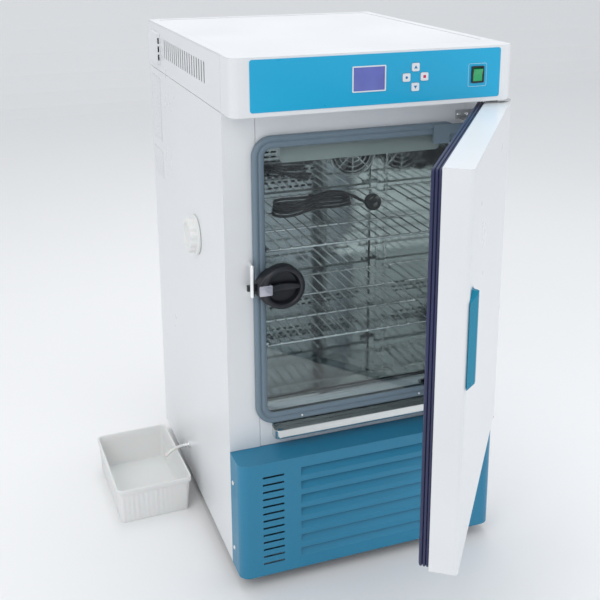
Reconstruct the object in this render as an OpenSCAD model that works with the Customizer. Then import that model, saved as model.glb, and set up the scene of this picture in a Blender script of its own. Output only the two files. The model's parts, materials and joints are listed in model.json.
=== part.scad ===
// Upright laboratory incubator with a solid outer door, an inner glass door with a
// turn latch, a cooled and heated stainless chamber with wire shelves, a machine bay
// behind a louvred lower cover, and a drip tray beside it. Front is -Y, floor is z = 0.

/* [Cabinet] */
// Width of the cabinet
cab_w = 600; // [560:5:640]
// Depth of the cabinet behind its front face
cab_d = 680; // [660:5:720]
// Height of the cabinet above its base frame
cab_h = 1112; // [1100:1:1140]
// Height of the base frame
base_h = 30; // [20:1:45]
// Height of the control head
head_h = 113; // [105:1:120]
// Height of the lower cover
cover_h = 269; // [260:1:275]
// How far the head, the door and the lower cover stand in front of the cabinet
reach = 70; // [68:1:80]
// Thickness of the sheet steel
sheet = 1.5; // [1:0.5:2]

/* [Chamber] */
// Clear width of the chamber
chamber_w = 436; // [400:2:440]
// Height of the door opening's lower edge above the cabinet's bottom edge
open_low = 344; // [340:1:350]
// Height of the door opening's upper edge above the cabinet's bottom edge
open_high = 928; // [900:1:930]
// Height of the chamber floor above the lower edge of the opening
sill_h = 26; // [20:1:30]
// Depth from the front face to the duct panel
duct_d = 420; // [400:5:440]
// Depth from the front face to the back of the chamber
liner_d = 590; // [560:5:600]
// Radius of the access port
port_r = 25; // [20:0.5:30]

/* [Shelves] */
// Heights of the shelves above the cabinet's bottom edge
shelf_z = [697, 486];
// Width of a shelf
shelf_w = 410; // [380:5:420]
// Distance from the front face to a shelf's front rail
shelf_y = 27; // [24:1:40]
// Depth of a shelf between its first and last rail
shelf_d = 373; // [340:1:380]
// Number of wires across a shelf
shelf_wires = 17; // [12:1:20]

/* [Outer door] */
// Angle at which the outer door stands open
door_rest = 53.5; // [0:0.5:110]
// Thickness of the outer door's shell
door_t = 50; // [45:1:52]
// Gap above and below the outer door
door_gap = 6; // [5:0.5:8]
// Depth of the dished inner panel
dish_d = 32; // [30:1:34]

/* [Glass door] */
// Width of the inner glass door over its seal
glass_w = 464; // [460:1:468]
// Height of the inner glass door over its seal
glass_h = 624; // [600:2:630]
// Sideways offset of the glass door's centre
glass_x = -11; // [-13:1:-9]
// Width of the seal round the glass
seal_w = 25; // [20:1:28]
// Radius of the seal's corners
seal_r = 42; // [36:1:48]
// Height of the latch above the cabinet's bottom edge
latch_z = 640; // [600:5:700]
// Radius of the latch knob
knob_r = 46; // [42:1:47]

/* [Drip tray] */
// Width of the tray over its rim
tray_w = 180; // [150:5:200]
// Length of the tray over its rim
tray_l = 278; // [240:2:300]
// Height of the tray
tray_h = 90; // [80:1:92]

/* [Hidden] */
$fn = 48;

// Planes of the cabinet
hw = cab_w / 2;
y_front = -cab_d / 2;
y_back = cab_d / 2;
y_out = y_front - reach;
z_bot = base_h;
z_top = base_h + cab_h;
z_head = z_top - head_h;
z_cover = z_bot + cover_h;
stile_w = 67;
pan_t = 2;
// Chamber
chw = chamber_w / 2;
skin = 2;
z_sill = z_bot + open_low;
z_floor = z_sill + sill_h;
z_ceil = z_bot + open_high + skin;
y_duct = y_front + duct_d;
y_liner = y_front + liner_d;
port = [-hw, y_front + 238, z_bot + 680];
fan = [150, y_duct, z_bot + 790];
fan_hole_r = 56;
// Control panel, with its own centre and the places of what is on it
panel = [531, 100, 5];
panel_x = 2.5;
panel_z = z_bot + 1058;
lcd_x = -22;
lcd_z = z_bot + 1060;
pad_x = 77;
pad_z = z_bot + 1058;
pad_step = 19.6;
button_w = 16.4;
switch_x = 216;
switch_z = z_bot + 1055.5;
rocker_tilt = 7;
rocker_axis_y = y_out + 6;
overlay_t = 0.8;
shell_t = 3;
// Outer door
door_w = cab_w - 2;
dz0 = z_cover + door_gap;
dz1 = z_head - door_gap;
y_door_in = y_out + door_t;
pivot = [hw - 12, y_out + 16];
pin_r = 5;
fit = 0.05;
door_seal_t = 18.5;
door_seal_w = 11;
// Glass door
gz = z_bot + 636;
g_pivot = [226, y_front - 16.5];
g_pin_r = 2.5;
seal_t = 13;
seal_gap = 1;
pane_t = 5;
pane_front = y_front - 9;
latch = [-190, z_bot + latch_z];
spindle_r = 6;
catch_x = -252;
catch_r = 4.75;
catch_z = [z_bot + 626, z_bot + 688];
catch_y = y_front - 28;
// Drip tray and drain
tray_c = [-418, y_front + 403];
tray_turn = 1.5;
drain = [-hw, y_front + 385, z_bot + 78];
stub_l = 18;
hose_r = 4;
hose_route = [[-318, 45, 108], [-325, 45, 108], [-332, 43.5, 107.3], [-339, 42, 106],
    [-346, 40, 104.2], [-353, 37.5, 101.8], [-360, 34.5, 99], [-367, 31, 96]];
// Power cord on the upper shelf
cord_c = [-22, -88];
hank_l = 208;
hank_w = 132;
hank_h = 41;
hank_turn = 12;
plug_c = [108, -142];
plug_r = 20;
shelf_rail_r = 3;
shelf_wire_r = 2;
shelf_top_z = z_bot + shelf_z[0] + shelf_rail_r + 2 * shelf_wire_r - 1.15;

function arc(cx, cy, r, a0, a1, n = 6) =
    [for (i = [0:n]) [cx + r * cos(a0 + (a1 - a0) * i / n), cy + r * sin(a0 + (a1 - a0) * i / n)]];
// Outline of a rectangle with round corners, centred on the origin
function round_rect(w, h, r, n = 6) = concat(
    arc(w / 2 - r, h / 2 - r, r, 0, 90, n), arc(-w / 2 + r, h / 2 - r, r, 90, 180, n),
    arc(-w / 2 + r, -h / 2 + r, r, 180, 270, n), arc(w / 2 - r, -h / 2 + r, r, 270, 360, n));
// Outline of a box whose two front corners are round, open side at the back
function bow_front(w, y0, y1, r) = concat(
    [[w / 2, y1], [-w / 2, y1]], arc(-w / 2 + r, y0 + r, r, 180, 270),
    arc(w / 2 - r, y0 + r, r, 270, 360));

module slab(x0, x1, y0, y1, z0, z1) translate([x0, y0, z0]) cube([x1 - x0, y1 - y0, z1 - z0]);
// A flat shape drawn in X and Z, standing from y0 back to y1
module upright(y0, y1) translate([0, y1, 0]) rotate([90, 0, 0]) linear_extrude(y1 - y0) children();
// A flat shape drawn in Y and Z, running from x0 to x1
module along_x(x0, x1) translate([x0, 0, 0]) rotate([90, 0, 90]) linear_extrude(x1 - x0) children();
module rod_x(x0, x1, y, z, r) translate([x0, y, z]) rotate([0, 90, 0]) cylinder(r = r, h = x1 - x0);
module rod_y(x, y0, y1, z, r) translate([x, y0, z]) rotate([-90, 0, 0]) cylinder(r = r, h = y1 - y0);
module rod_z(x, y, z0, z1, r) translate([x, y, z0]) cylinder(r = r, h = z1 - z0);
// A slot with square ends in a wall that faces the front
module slot_y(x, z, w, h, y0, y1) slab(x - w / 2, x + w / 2, y0, y1, z - h / 2, z + h / 2);
// A tube swept along a route, one ring at each point
module sweep(route, r, sides = 8) {
    last = len(route) - 1;
    dirs = [for (i = [0:last]) let (d = route[min(i + 1, last)] - route[max(i - 1, 0)]) d / norm(d)];
    rings = [for (i = [0:last]) let (s = cross(dirs[i], [0, 0, 1]), side = s / norm(s),
        up = cross(side, dirs[i])) for (k = [0:sides - 1])
        route[i] + r * (side * cos(360 * k / sides) + up * sin(360 * k / sides))];
    walls = [for (i = [0:last - 1]) for (k = [0:sides - 1]) let (n = (k + 1) % sides)
        [i * sides + k, i * sides + n, (i + 1) * sides + n, (i + 1) * sides + k]];
    polyhedron(rings, concat([[for (k = [0:sides - 1]) sides - 1 - k]], walls,
        [[for (k = [0:sides - 1]) last * sides + k]]));
}

// ---- Cabinet ----
module base_frame() color("dimgray") {
    rail = 30;
    inset = 45;
    difference() {
        slab(-hw + inset, hw - inset, y_front + inset, y_back - inset, 0, base_h);
        slab(-hw + inset + rail, hw - inset - rail, y_front + inset + rail, y_back - inset - rail,
            -1, base_h - pan_t);
    }
    slab(-hw + 2, hw - 2, y_front + 1, y_back - 2, base_h, base_h + pan_t);
}

// Folded side sheet; the front return makes the stile beside the chamber
module side_sheet() {
    slab(hw - sheet, hw, y_front, y_back, z_bot + pan_t, z_head - 1);
    slab(hw - stile_w, hw - sheet, y_front, y_front + sheet, z_cover, z_head - 1);
    slab(hw - 22, hw - sheet, y_back - sheet, y_back, z_bot + pan_t, z_head - 1);
}
module side_panel_left() color("whitesmoke") difference() {
    mirror([1, 0, 0]) side_sheet();
    rod_x(-hw - 1, -hw + sheet + 1, port[1], port[2], port_r + 2.2);
    rod_x(-hw - 1, -hw + sheet + 1, drain[1], drain[2], 5.1);
}
module side_panel_right() color("whitesmoke") side_sheet();

module back_panel() color("gainsboro") difference() {
    slab(-hw + 23, hw - 23, y_back - sheet, y_back, z_bot + pan_t, z_head - 1);
    for (i = [0:7]) slot_y(60, z_bot + 60 + 20 * i, 260, 6, y_back - 5, y_back + 1);
    slot_y(-180, z_bot + 110, 49, 29, y_back - 5, y_back + 1);
}
module front_frame() color("whitesmoke") difference() {
    slab(-hw + stile_w + 0.6, hw - stile_w - 0.6, y_front, y_front + sheet, z_cover + 0.5, z_head - 1);
    upright(y_front - 1, y_front + 3) translate([0, (z_sill + z_ceil) / 2])
        polygon(round_rect(chamber_w, z_ceil - z_sill, 18));
}
// Chamber section in Y and Z; the floor's front edge rolls down to the sill
function liner_out(grow = 0) = concat([[y_liner + skin + grow, z_ceil + skin + grow],
    [y_liner + skin + grow, z_floor - skin - grow]],
    arc(y_front + 2 + sill_h, z_sill, sill_h - skin - grow, 90, 180, 8));
module chamber_liner() color("lightgray") difference() {
    union() {
        along_x(-chw - skin, chw + skin) polygon(concat(liner_out(),
            arc(y_front + 2 + sill_h, z_sill, sill_h, 180, 90, 8),
            [[y_liner, z_floor], [y_liner, z_ceil], [y_front + 2, z_ceil], [y_front + 2, z_ceil + skin]]));
        for (x = [-chw - skin, chw]) along_x(x, x + skin)
            polygon(concat(liner_out(), [[y_front + 2, z_sill], [y_front + 2, z_ceil + skin]]));
    }
    rod_x(-chw - 5, -chw + 5, port[1], port[2], port_r + 2.1);
}
module insulation() color("wheat") difference() {
    slab(-hw + sheet + 0.5, hw - sheet - 0.5, y_front + sheet + 0.2, y_back - sheet - 0.5,
        z_cover + 2, z_head - 3);
    along_x(-chw - skin - 0.1, chw + skin + 0.1)
        polygon(concat(liner_out(0.1), [[y_front, z_sill], [y_front, z_ceil + skin + 0.1]]));
    rod_x(-hw, -chw, port[1], port[2], port_r + 2.2);
}
upright_y = [y_front + 48, y_front + 368];
module shelf_uprights() color("silver") for (s = [-1, 1], y = upright_y) difference() {
    union() {
        slab(min(s * (chw - 3), s * chw), max(s * (chw - 3), s * chw), y - 8, y + 8,
            z_floor + 12, z_ceil - 18);
        // clips that carry the shelf's outer wires
        for (z = shelf_z) slab(min(s * (chw - 22), s * (chw - 2.9)), max(s * (chw - 22), s * (chw - 2.9)),
            y - 6, y + 6, z_bot + z - 6, z_bot + z + shelf_rail_r - 1.6);
    }
    for (i = [0:19]) slab(min(s * (chw - 4), s * (chw + 1)), max(s * (chw - 4), s * (chw + 1)),
        y - 2.5, y + 2.5, z_floor + 24 + 25 * i, z_floor + 34 + 25 * i);
}
// One row of slots with pointed ends through the duct panel
module pill_row(x0, n, pitch, z, w = 12, h = 5) upright(y_duct - 3, y_duct + 3) for (i = [0:n - 1])
    translate([x0 + i * pitch, z]) polygon([[-w / 2, 0], [-w / 2 + 2, -h / 2], [w / 2 - 2, -h / 2],
        [w / 2, 0], [w / 2 - 2, h / 2], [-w / 2 + 2, h / 2]]);
module duct_panel() color("silver") difference() {
    slab(-chw + 0.3, chw - 0.3, y_duct, y_duct + sheet, z_floor + 0.3, z_ceil - 0.3);
    rod_y(fan[0], y_duct - 3, y_duct + 3, fan[2], fan_hole_r);
    for (r = [0:2]) pill_row(-158 + 8 * (r % 2), 19, 17.5, z_bot + 400 + 12 * r);
    for (r = [0:3]) pill_row(-158 + 8 * (r % 2), 12, 17.5, z_bot + 716 + 14 * r);
    for (r = [0:3]) pill_row(-150, 6, 18, z_bot + 784 + 12 * r, 15, 4);
}
// Hanging plate that turns the air down in front of the ceiling
module air_deflector() color("darkseagreen") {
    upright(y_front + 14, y_front + 15.5) difference() {
        translate([0, z_bot + 908]) polygon(round_rect(356, 44, 9));
        translate([0, z_bot + 950]) square([400, 44], center = true);
    }
    slab(-178, 178, y_front + 15.5, y_front + 40, z_bot + 926, z_bot + 928);
}
module fan_guard() color("silver") translate([fan[0], y_duct - 1.6, fan[2]]) rotate([90, 0, 0]) {
    for (r = [14, 26, 38, 50, 61]) rotate_extrude() translate([r, 0]) circle(r = 1.6, $fn = 10);
    for (a = [0:45:135]) rotate([0, 0, a]) translate([0, 0, -0.6])
        cube([122, 3, 2], center = true);
}
module fan_motor() color("gray") {
    rod_y(fan[0], y_duct + 62, y_duct + 100, fan[2], 30);
    rod_y(fan[0], y_duct + 10, y_duct + 62.1, fan[2], 3);
    for (s = [-1, 1]) slab(fan[0] - 66, fan[0] + 66, y_duct + 84, y_duct + 87,
        fan[2] + s * 22 - 5, fan[2] + s * 22 + 5);
}
// Blades between a hub and a thin rim, turning about Y
module axial_fan(x, y, z, r, depth, bore, blades) translate([x, y, z]) rotate([-90, 0, 0]) difference() {
    union() {
        cylinder(r = bore + 11, h = depth);
        for (i = [0:blades - 1]) rotate([0, 0, 360 * i / blades]) translate([bore + 8, 0, depth / 2])
            rotate([32, 0, 0]) translate([0, -13, -1]) cube([r - bore - 8, 26, 2]);
    }
    translate([0, 0, -1]) cylinder(r = bore, h = depth + 2);
}
module fan_wheel() color("white") axial_fan(fan[0], y_duct + 12, fan[2], 48, 20, 3 + fit, 6);
module evaporator() color("silver") {
    for (i = [0:21]) slab(-190 + 12 * i, -189 + 12 * i, y_duct + 40, y_duct + 100, z_bot + 430, z_bot + 660);
    for (z = [460:40:640]) rod_x(-196, 70, y_duct + 70, z_bot + z, 4.5);
}
module heater() color("dimgray") {
    for (z = [0, 40, 80]) rod_x(-150, 60, y_duct + 22, z_bot + 520 + z, 4);
    for (x = [-150, 60]) slab(x - 6, x + 6, y_duct + 16, y_duct + 28, z_bot + 510, z_bot + 610);
}
module port_tube() color("whitesmoke") difference() {
    rod_x(-hw, -chw, port[1], port[2], port_r + 2);
    rod_x(-hw - 1, -chw + 1, port[1], port[2], port_r);
}
module port_cap() color("whitesmoke") translate([-hw - 0.4, port[1], port[2]]) rotate([0, -90, 0]) {
    cylinder(r = 45, h = 7.1);
    difference() {
        translate([0, 0, 7]) cylinder(r = 39, h = 15);
        for (a = [0:30:330]) rotate([0, 0, a]) translate([43.5, 0, 8]) cylinder(r = 7, h = 20);
        translate([0, 0, 18]) cylinder(r = 28, h = 10);
    }
    translate([0, 0, -30]) cylinder(r = port_r - 0.15, h = 31);
}

// ---- Control head ----
module side_vents(s) for (i = [0:18]) slab(s * hw - 4, s * hw + 4,
    y_front + 125 + 20.9 * i - 4, y_front + 125 + 20.9 * i + 4, z_bot + 1037, z_bot + 1081);
module head_shell() color("whitesmoke") difference() {
    slab(-hw, hw, y_front + 0.5, y_back, z_head, z_top - 3);
    slab(-hw + sheet, hw - sheet, y_front - 1, y_back - sheet, z_head + sheet, z_top);
    side_vents(-1);
    side_vents(1);
    for (i = [0:11]) slot_y(-120 + 20 * i, z_head + 55, 8, 44, y_back - 5, y_back + 5);
}
module terminal_cover() color("white") difference() {
    slab(-hw - 8, -hw - 0.1, y_front + 550, y_front + 650, z_bot + 1016, z_bot + 1090);
    slab(-hw - 6, -hw + 1, y_front + 552, y_front + 648, z_bot + 1018, z_bot + 1088);
    for (i = [0:2]) slab(-hw - 6, -hw - 2.5, y_front + 548, y_front + 553,
        z_bot + 1026 + 20 * i, z_bot + 1040 + 20 * i);
}
// Lid sheet with a raised border
module top_cover() color("whitesmoke") difference() {
    slab(-hw + 0.5, hw - 0.5, y_front + 0.5, y_back - 0.5, z_top - 3, z_top);
    translate([0, 0, z_top - 1.2]) linear_extrude(2) polygon(round_rect(cab_w - 44, cab_d - 44, 12));
}
// Everything on the front panel is let through the fascia and the overlay
module panel_cuts(y0, y1) {
    upright(y0, y1) translate([lcd_x, lcd_z]) square([67, 47], center = true);
    upright(y0, y1) translate([switch_x, switch_z]) square([24, 30], center = true);
    upright(y0, y1) for (p = [[0, 1], [0, -1], [1, 0], [-1, 0]])
        translate([pad_x, pad_z] + pad_step * p) polygon(round_rect(button_w + 1, button_w + 1, 3.5, 4));
}
module head_fascia() color("whitesmoke") difference() {
    translate([0, 0, z_head]) linear_extrude(head_h) polygon(bow_front(cab_w, y_out, y_front, 20));
    translate([0, 0, z_head + shell_t]) linear_extrude(head_h - 2 * shell_t)
        polygon(bow_front(cab_w - 2 * shell_t, y_out + shell_t, y_front + 1, 17));
    panel_cuts(y_out - 1, y_out + shell_t + 1);
}
module control_overlay() color("deepskyblue") difference() {
    upright(y_out - overlay_t, y_out) translate([panel_x, panel_z])
        polygon(round_rect(panel[0], panel[1], panel[2]));
    panel_cuts(y_out - 5, y_out + 1);
}
module display_bezel() color("white") upright(y_out - overlay_t - 1.5, y_out - overlay_t)
    translate([lcd_x, lcd_z]) difference() {
        polygon(round_rect(71, 51, 2, 3));
        square([66, 46], center = true);
    }
module display_screen() color("slateblue") upright(y_out - overlay_t, y_out + 2.5)
    translate([lcd_x, lcd_z]) square([66.8, 46.8], center = true);
module controller_board() color("seagreen") {
    upright(y_out + 14, y_out + 15.6) translate([25, lcd_z]) square([190, 78], center = true);
    upright(y_out + 2.5, y_out + 14) translate([lcd_x, lcd_z]) square([64, 44], center = true);
    upright(y_out + 15.6, y_out + 40) translate([60, lcd_z]) square([60, 50], center = true);
}
module button(p) color("white") {
    upright(y_out - 2.6, y_out + 4.5) translate([pad_x, pad_z] + pad_step * p)
        polygon(round_rect(button_w, button_w, 3, 4));
    rod_y(pad_x + pad_step * p[0], y_out + 4.5, y_out + 12.8, pad_z + pad_step * p[1], 2.5);
}
module button_up() button([0, 1]);
module button_down() button([0, -1]);
module button_left() button([-1, 0]);
module button_right() button([1, 0]);
module switch_bezel() color("black") difference() {
    union() {
        upright(y_out - overlay_t - 2.4, y_out - overlay_t) translate([switch_x, switch_z])
            polygon(round_rect(28.5, 34, 2, 3));
        upright(y_out - overlay_t, y_out + 24) translate([switch_x, switch_z])
            square([23.6, 29.6], center = true);
    }
    upright(y_out - 8, y_out + 20) translate([switch_x, switch_z]) square([21.2, 27.8], center = true);
    rod_x(switch_x - 11.4, switch_x + 11.4, rocker_axis_y, switch_z, 1.6);
}
// Rocker with a shallow V face; one half lies flush when it rests
module switch_rocker() color("limegreen") translate([0, rocker_axis_y, switch_z]) rotate([rocker_tilt, 0, 0]) {
    along_x(switch_x - 10.2, switch_x + 10.2)
        polygon([[-10.4, 12.3], [-9, 0], [-10.4, -12.3], [2, -12], [7, -5], [7, 5], [2, 12]]);
    rod_x(switch_x - 11.2, switch_x + 11.2, 0, 0, 1.5);
}

// ---- Lower cover and machine bay ----
louvre_n = 7;
louvre_pitch = 32.5;
louvre_w = 330;
louvre_z = z_bot + 29;
louvre_h = 20;
module lower_cover() color("teal") {
    difference() {
        translate([0, 0, z_bot]) linear_extrude(cover_h) polygon(bow_front(cab_w, y_out, y_front - 0.3, 22));
        translate([0, 0, z_bot - 1]) linear_extrude(cover_h - 1)
            polygon(bow_front(cab_w - 4, y_out + 2, y_front + 1, 20));
        for (s = [-1, 1], i = [0:12]) slot_y(s * 226.5, z_bot + 29 + 17.2 * i, 47, 4.5, y_out - 1, y_out + 3);
        for (i = [0:louvre_n - 1]) slab(-louvre_w / 2, louvre_w / 2, y_out - 1, y_out + 3,
            louvre_z + louvre_pitch * i, louvre_z + louvre_h + louvre_pitch * i);
    }
    // pressed-in blades, flush at their lower edge
    for (i = [0:louvre_n - 1]) translate([0, 0, louvre_z + louvre_pitch * i])
        along_x(-louvre_w / 2, louvre_w / 2) polygon([[y_out, -0.6], [y_out + 2, -0.6],
            [y_out + 13, louvre_h - 3], [y_out + 13, louvre_h], [y_out + 11.5, louvre_h]]);
}
module cover_screws() color("silver") for (s = [-1, 1], z = [52.3, 209.5])
    translate([s * (hw + 0.05), y_front - 23, z_bot + z]) rotate([0, s * 90, 0]) {
        cylinder(r = 5, h = 1.6);
        translate([0, 0, 1.6]) cylinder(r1 = 5, r2 = 3, h = 1.4, $fn = 24);
    }
comp = [-120, 150];
module compressor() color("black") {
    translate([comp[0], comp[1], z_bot + pan_t + 22]) rotate_extrude() polygon(concat([[0, 0], [62, 0]],
        arc(42, 118, 24, -10, 80, 6), [[0, 146]]));
    slab(comp[0] - 85, comp[0] + 85, comp[1] - 45, comp[1] + 45, z_bot + pan_t + 16, z_bot + pan_t + 22.1);
    for (x = [-72, 72], y = [-34, 34])
        rod_z(comp[0] + x, comp[1] + y, z_bot + pan_t, z_bot + pan_t + 16.1, 9);
}
cond_x = 0;
cond_y = y_front + 20;
module condenser() color("silver") {
    for (i = [0:24]) slab(cond_x - 145 + 12 * i, cond_x - 144 + 12 * i, cond_y, cond_y + 44,
        z_bot + 6, z_bot + 240);
    for (z = [55:40:215]) rod_x(cond_x - 152, cond_x + 152, cond_y + 22, z_bot + z, 4.5);
    for (s = [-1, 1]) slab(cond_x + s * 151 - 1, cond_x + s * 151 + 1, cond_y, cond_y + 44,
        z_bot + pan_t, z_bot + 240);
}
cfan = [cond_x, cond_y + 62, z_bot + 135];
module condenser_shroud() color("dimgray") {
    difference() {
        slab(cond_x - 152, cond_x + 152, cond_y + 46, cond_y + 80, z_bot + pan_t, z_bot + 242);
        slab(cond_x - 149, cond_x + 149, cond_y + 45, cond_y + 77, z_bot + pan_t + 3, z_bot + 239);
        rod_y(cfan[0], cond_y + 60, cond_y + 90, cfan[2], 100);
    }
    slab(cond_x - 152, cond_x + 152, cond_y + 80, cond_y + 83, cfan[2] - 6, cfan[2] + 6);
    rod_y(cfan[0], cond_y + 83, cond_y + 118, cfan[2], 27);
    rod_y(cfan[0], cfan[1] - 4, cond_y + 80.1, cfan[2], 4);
}
module condenser_fan() color("black") axial_fan(cfan[0], cfan[1] - 12, cfan[2], 92, 24, 4 + fit, 5);

// ---- Fittings on the front, the side and the back ----
module latch_catch() color("silver") {
    for (z = catch_z) rod_y(catch_x, catch_y, y_front, z, catch_r);
    rod_z(catch_x, catch_y, catch_z[0], catch_z[1], catch_r);
    for (z = catch_z) translate([catch_x, catch_y, z]) sphere(r = catch_r);
}
gut = [206, 26, z_bot + 292.5, z_bot + 312, z_bot + 324];
module drip_gutter() color("silver") difference() {
    union() {
        translate([0, 0, gut[2]]) linear_extrude(gut[3] - gut[2])
            polygon(bow_front(2 * gut[0], y_front - gut[1], y_front, 12));
        slab(-gut[0], gut[0], y_front - sheet, y_front, gut[2], gut[4]);
    }
    translate([0, 0, gut[2] + sheet]) linear_extrude(60)
        polygon(bow_front(2 * gut[0] - 2 * sheet, y_front - gut[1] + sheet, y_front - sheet, 10.5));
    rod_z(-184, y_front - 13, gut[2] - 1, gut[2] + 4, 5);
}
module drain_stub() color("silver") difference() {
    union() {
        rod_x(-hw - stub_l, -hw + 14, drain[1], drain[2], 4.5);
        rod_x(-hw - 5, -hw - 0.05, drain[1], drain[2], 9);
    }
    rod_x(-hw - stub_l - 1, -hw + 15, drain[1], drain[2], 3.2);
}
module drain_hose() color("white") sweep(hose_route, hose_r);
module power_inlet() color("black") difference() {
    union() {
        slab(-204, -156, y_back - 24, y_back + 0.1, z_bot + 96, z_bot + 124);
        slab(-210, -150, y_back, y_back + 3, z_bot + 92, z_bot + 128);
    }
    slab(-194, -166, y_back - 18, y_back + 4, z_bot + 100, z_bot + 120);
}
// Screwed plates above and below the glass door, each with a tab and a pin
module glass_hinge() {
    difference() {
        slab(gut[0] + 1.5, 256, y_front - 2, y_front, z_bot + 951, z_bot + 970);
        for (x = [214, 232, 250]) rod_y(x, y_front - 3, y_front + 1, z_bot + 961, 2.2);
    }
    slab(216, 236, y_front - 24, y_front - 1, z_bot + 951, z_bot + 954);
    rod_z(g_pivot[0], g_pivot[1], z_bot + 934, z_bot + 951.1, g_pin_r);
}
module glass_hinges() color("gray") {
    glass_hinge();
    translate([0, 0, 2 * gz]) mirror([0, 0, 1]) glass_hinge();
}
// Brackets under the head and over the lower cover, with the outer door's pins
module door_hinges() color("silver") {
    for (z = [z_head - 3, z_cover]) slab(hw - 32, hw - 1, y_out + 2, y_front, z, z + 3);
    rod_z(pivot[0], pivot[1], z_head - 23, z_head - 2.9, pin_r);
    rod_z(pivot[0], pivot[1], z_cover + 2.9, z_cover + 23, pin_r);
}

// ---- Glass door ----
module pane_shape(grow) translate([glass_x, gz])
    polygon(round_rect(glass_w - seal_w + grow, glass_h - seal_w + grow, seal_r - seal_w / 2 + grow / 2, 8));
module glass_pane() color("lightblue", 0.4) difference() {
    upright(pane_front, pane_front + pane_t) pane_shape(0);
    rod_y(latch[0], pane_front - 1, pane_front + pane_t + 1, latch[1], 8);
}
module glass_seal() color("slategray") difference() {
    upright(y_front - seal_gap - seal_t, y_front - seal_gap) translate([glass_x, gz]) difference() {
        polygon(round_rect(glass_w, glass_h, seal_r, 8));
        polygon(round_rect(glass_w - 2 * seal_w, glass_h - 2 * seal_w, seal_r - seal_w + 5, 8));
    }
    upright(pane_front - 0.05, pane_front + pane_t + 0.05) pane_shape(0.2);
}
// Knuckle plates in front of the seal, clamped to the pane
module hinge_shoe() {
    difference() {
        union() {
            slab(150, 226, g_pivot[1] - 1.5, g_pivot[1] + 1.5, z_bot + 905, z_bot + 945);
            rod_z(g_pivot[0], g_pivot[1], z_bot + 925, z_bot + 945, 4.6);
        }
        rod_z(g_pivot[0], g_pivot[1], z_bot + 920, z_bot + 950, g_pin_r + fit);
        slab(187, 232, g_pivot[1] - 3, g_pivot[1] + 3, z_bot + 900, z_bot + 924);
    }
    slab(152, 184, g_pivot[1] + 1.4, pane_front, z_bot + 906, z_bot + 920);
}
module latch_base() color("black") {
    rod_y(latch[0], pane_front - 4, pane_front, latch[1], 26);
    rod_y(latch[0], pane_front - 0.1, pane_front + pane_t + 0.1, latch[1], 7.95);
    rod_y(latch[0], pane_front + pane_t, pane_front + pane_t + 3, latch[1], 20);
    rod_y(latch[0], pane_front - 16, pane_front - 3.9, latch[1], spindle_r);
    color("silver") hinge_shoe();
    color("silver") translate([0, 0, 2 * gz]) mirror([0, 0, 1]) hinge_shoe();
}
// Cup with a wing grip and a beak; its tongue lies behind the catch bar
knob_back = y_front - 14.8;
knob_face = y_front - 46;
knob_well = y_front - 28;
insert_y = y_front - 36;
module latch_knob() color("black") difference() {
    union() {
        translate([latch[0], knob_back, latch[1]]) rotate([90, 0, 0]) rotate_extrude() polygon(concat(
            [[0, 0], [knob_r - 4, 0], [knob_r, 5]], arc(knob_r - 5, knob_back - knob_face - 5, 5, 0, 90, 4),
            [[knob_r - 9, knob_back - knob_face], [knob_r - 12, knob_back - knob_face - 4],
            [knob_r - 12, knob_back - knob_well], [0, knob_back - knob_well]]));
        upright(y_front - 38, knob_back) translate(latch) difference() {
            polygon([[-54, 12], [-54, -12], [-22, -40], [-8, -40], [-8, 40], [-22, 40]]);
            circle(r = knob_r - 13);
        }
        upright(y_front - 22, knob_back) translate(latch) polygon([[-70, 6], [-70, -6], [-53, -7], [-53, 7]]);
        upright(y_front - 43, knob_well + 0.1) translate(latch)
            polygon([[-34, 5], [0, 8], [34, 5], [34, -5], [0, -8], [-34, -5]]);
    }
    rod_y(latch[0], pane_front - 17, knob_back + 1, latch[1], spindle_r + fit);
    upright(knob_face - 1, insert_y) translate(latch + [-38.5, 0]) square([27.3, 22.3], center = true);
}
module latch_insert() color("gainsboro") upright(insert_y - 6, insert_y) translate(latch + [-38.5, 0])
    polygon(round_rect(27, 22, 1.5, 3));

// ---- Outer door, drawn shut and turned open about its pins ----
module at_door() translate([pivot[0], pivot[1], 0]) rotate([0, 0, door_rest])
    translate([-pivot[0], -pivot[1], 0]) children();
module door_shell() color("whitesmoke") at_door() difference() {
    translate([0, 0, dz0]) linear_extrude(dz1 - dz0) polygon(bow_front(door_w, y_out, y_door_in, 7));
    translate([0, 0, dz0 + sheet]) linear_extrude(dz1 - dz0 - 2 * sheet)
        polygon(bow_front(door_w - 2 * sheet, y_out + sheet, y_door_in + 1, 5.5));
    rod_z(pivot[0], pivot[1], dz0 - 1, dz1 + 1, pin_r + fit);
}
rim_x = door_w / 2 - sheet - 0.1;
dish_x = door_w / 2 - 23;
dish_z = 14;
module dish_block(grow, y0) slab(-dish_x - grow, dish_x + grow, y0, y_door_in + 1,
    dz0 + dish_z - grow, dz1 - dish_z + grow);
module door_liner() color("white") at_door() difference() {
    union() {
        slab(-rim_x, rim_x, y_door_in - skin, y_door_in, dz0 + sheet + 0.1, dz1 - sheet - 0.1);
        intersection() {
            dish_block(0, y_door_in - dish_d - skin);
            slab(-hw, hw, y_out, y_door_in, 0, z_top);
        }
    }
    dish_block(-skin, y_door_in - dish_d);
    for (z = [dz0, dz1]) rod_z(pivot[0], pivot[1], z - 24, z + 24, pin_r + 3);
}
module door_foam() color("wheat") at_door() difference() {
    slab(-rim_x + 6, rim_x - 6, y_out + sheet + 0.1, y_door_in - skin - 0.1,
        dz0 + sheet + 0.1, dz1 - sheet - 0.1);
    dish_block(0.1, y_door_in - dish_d - skin - 0.1);
    for (z = [dz0, dz1]) rod_z(pivot[0], pivot[1], z - 24, z + 24, pin_r + 1);
}
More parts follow.
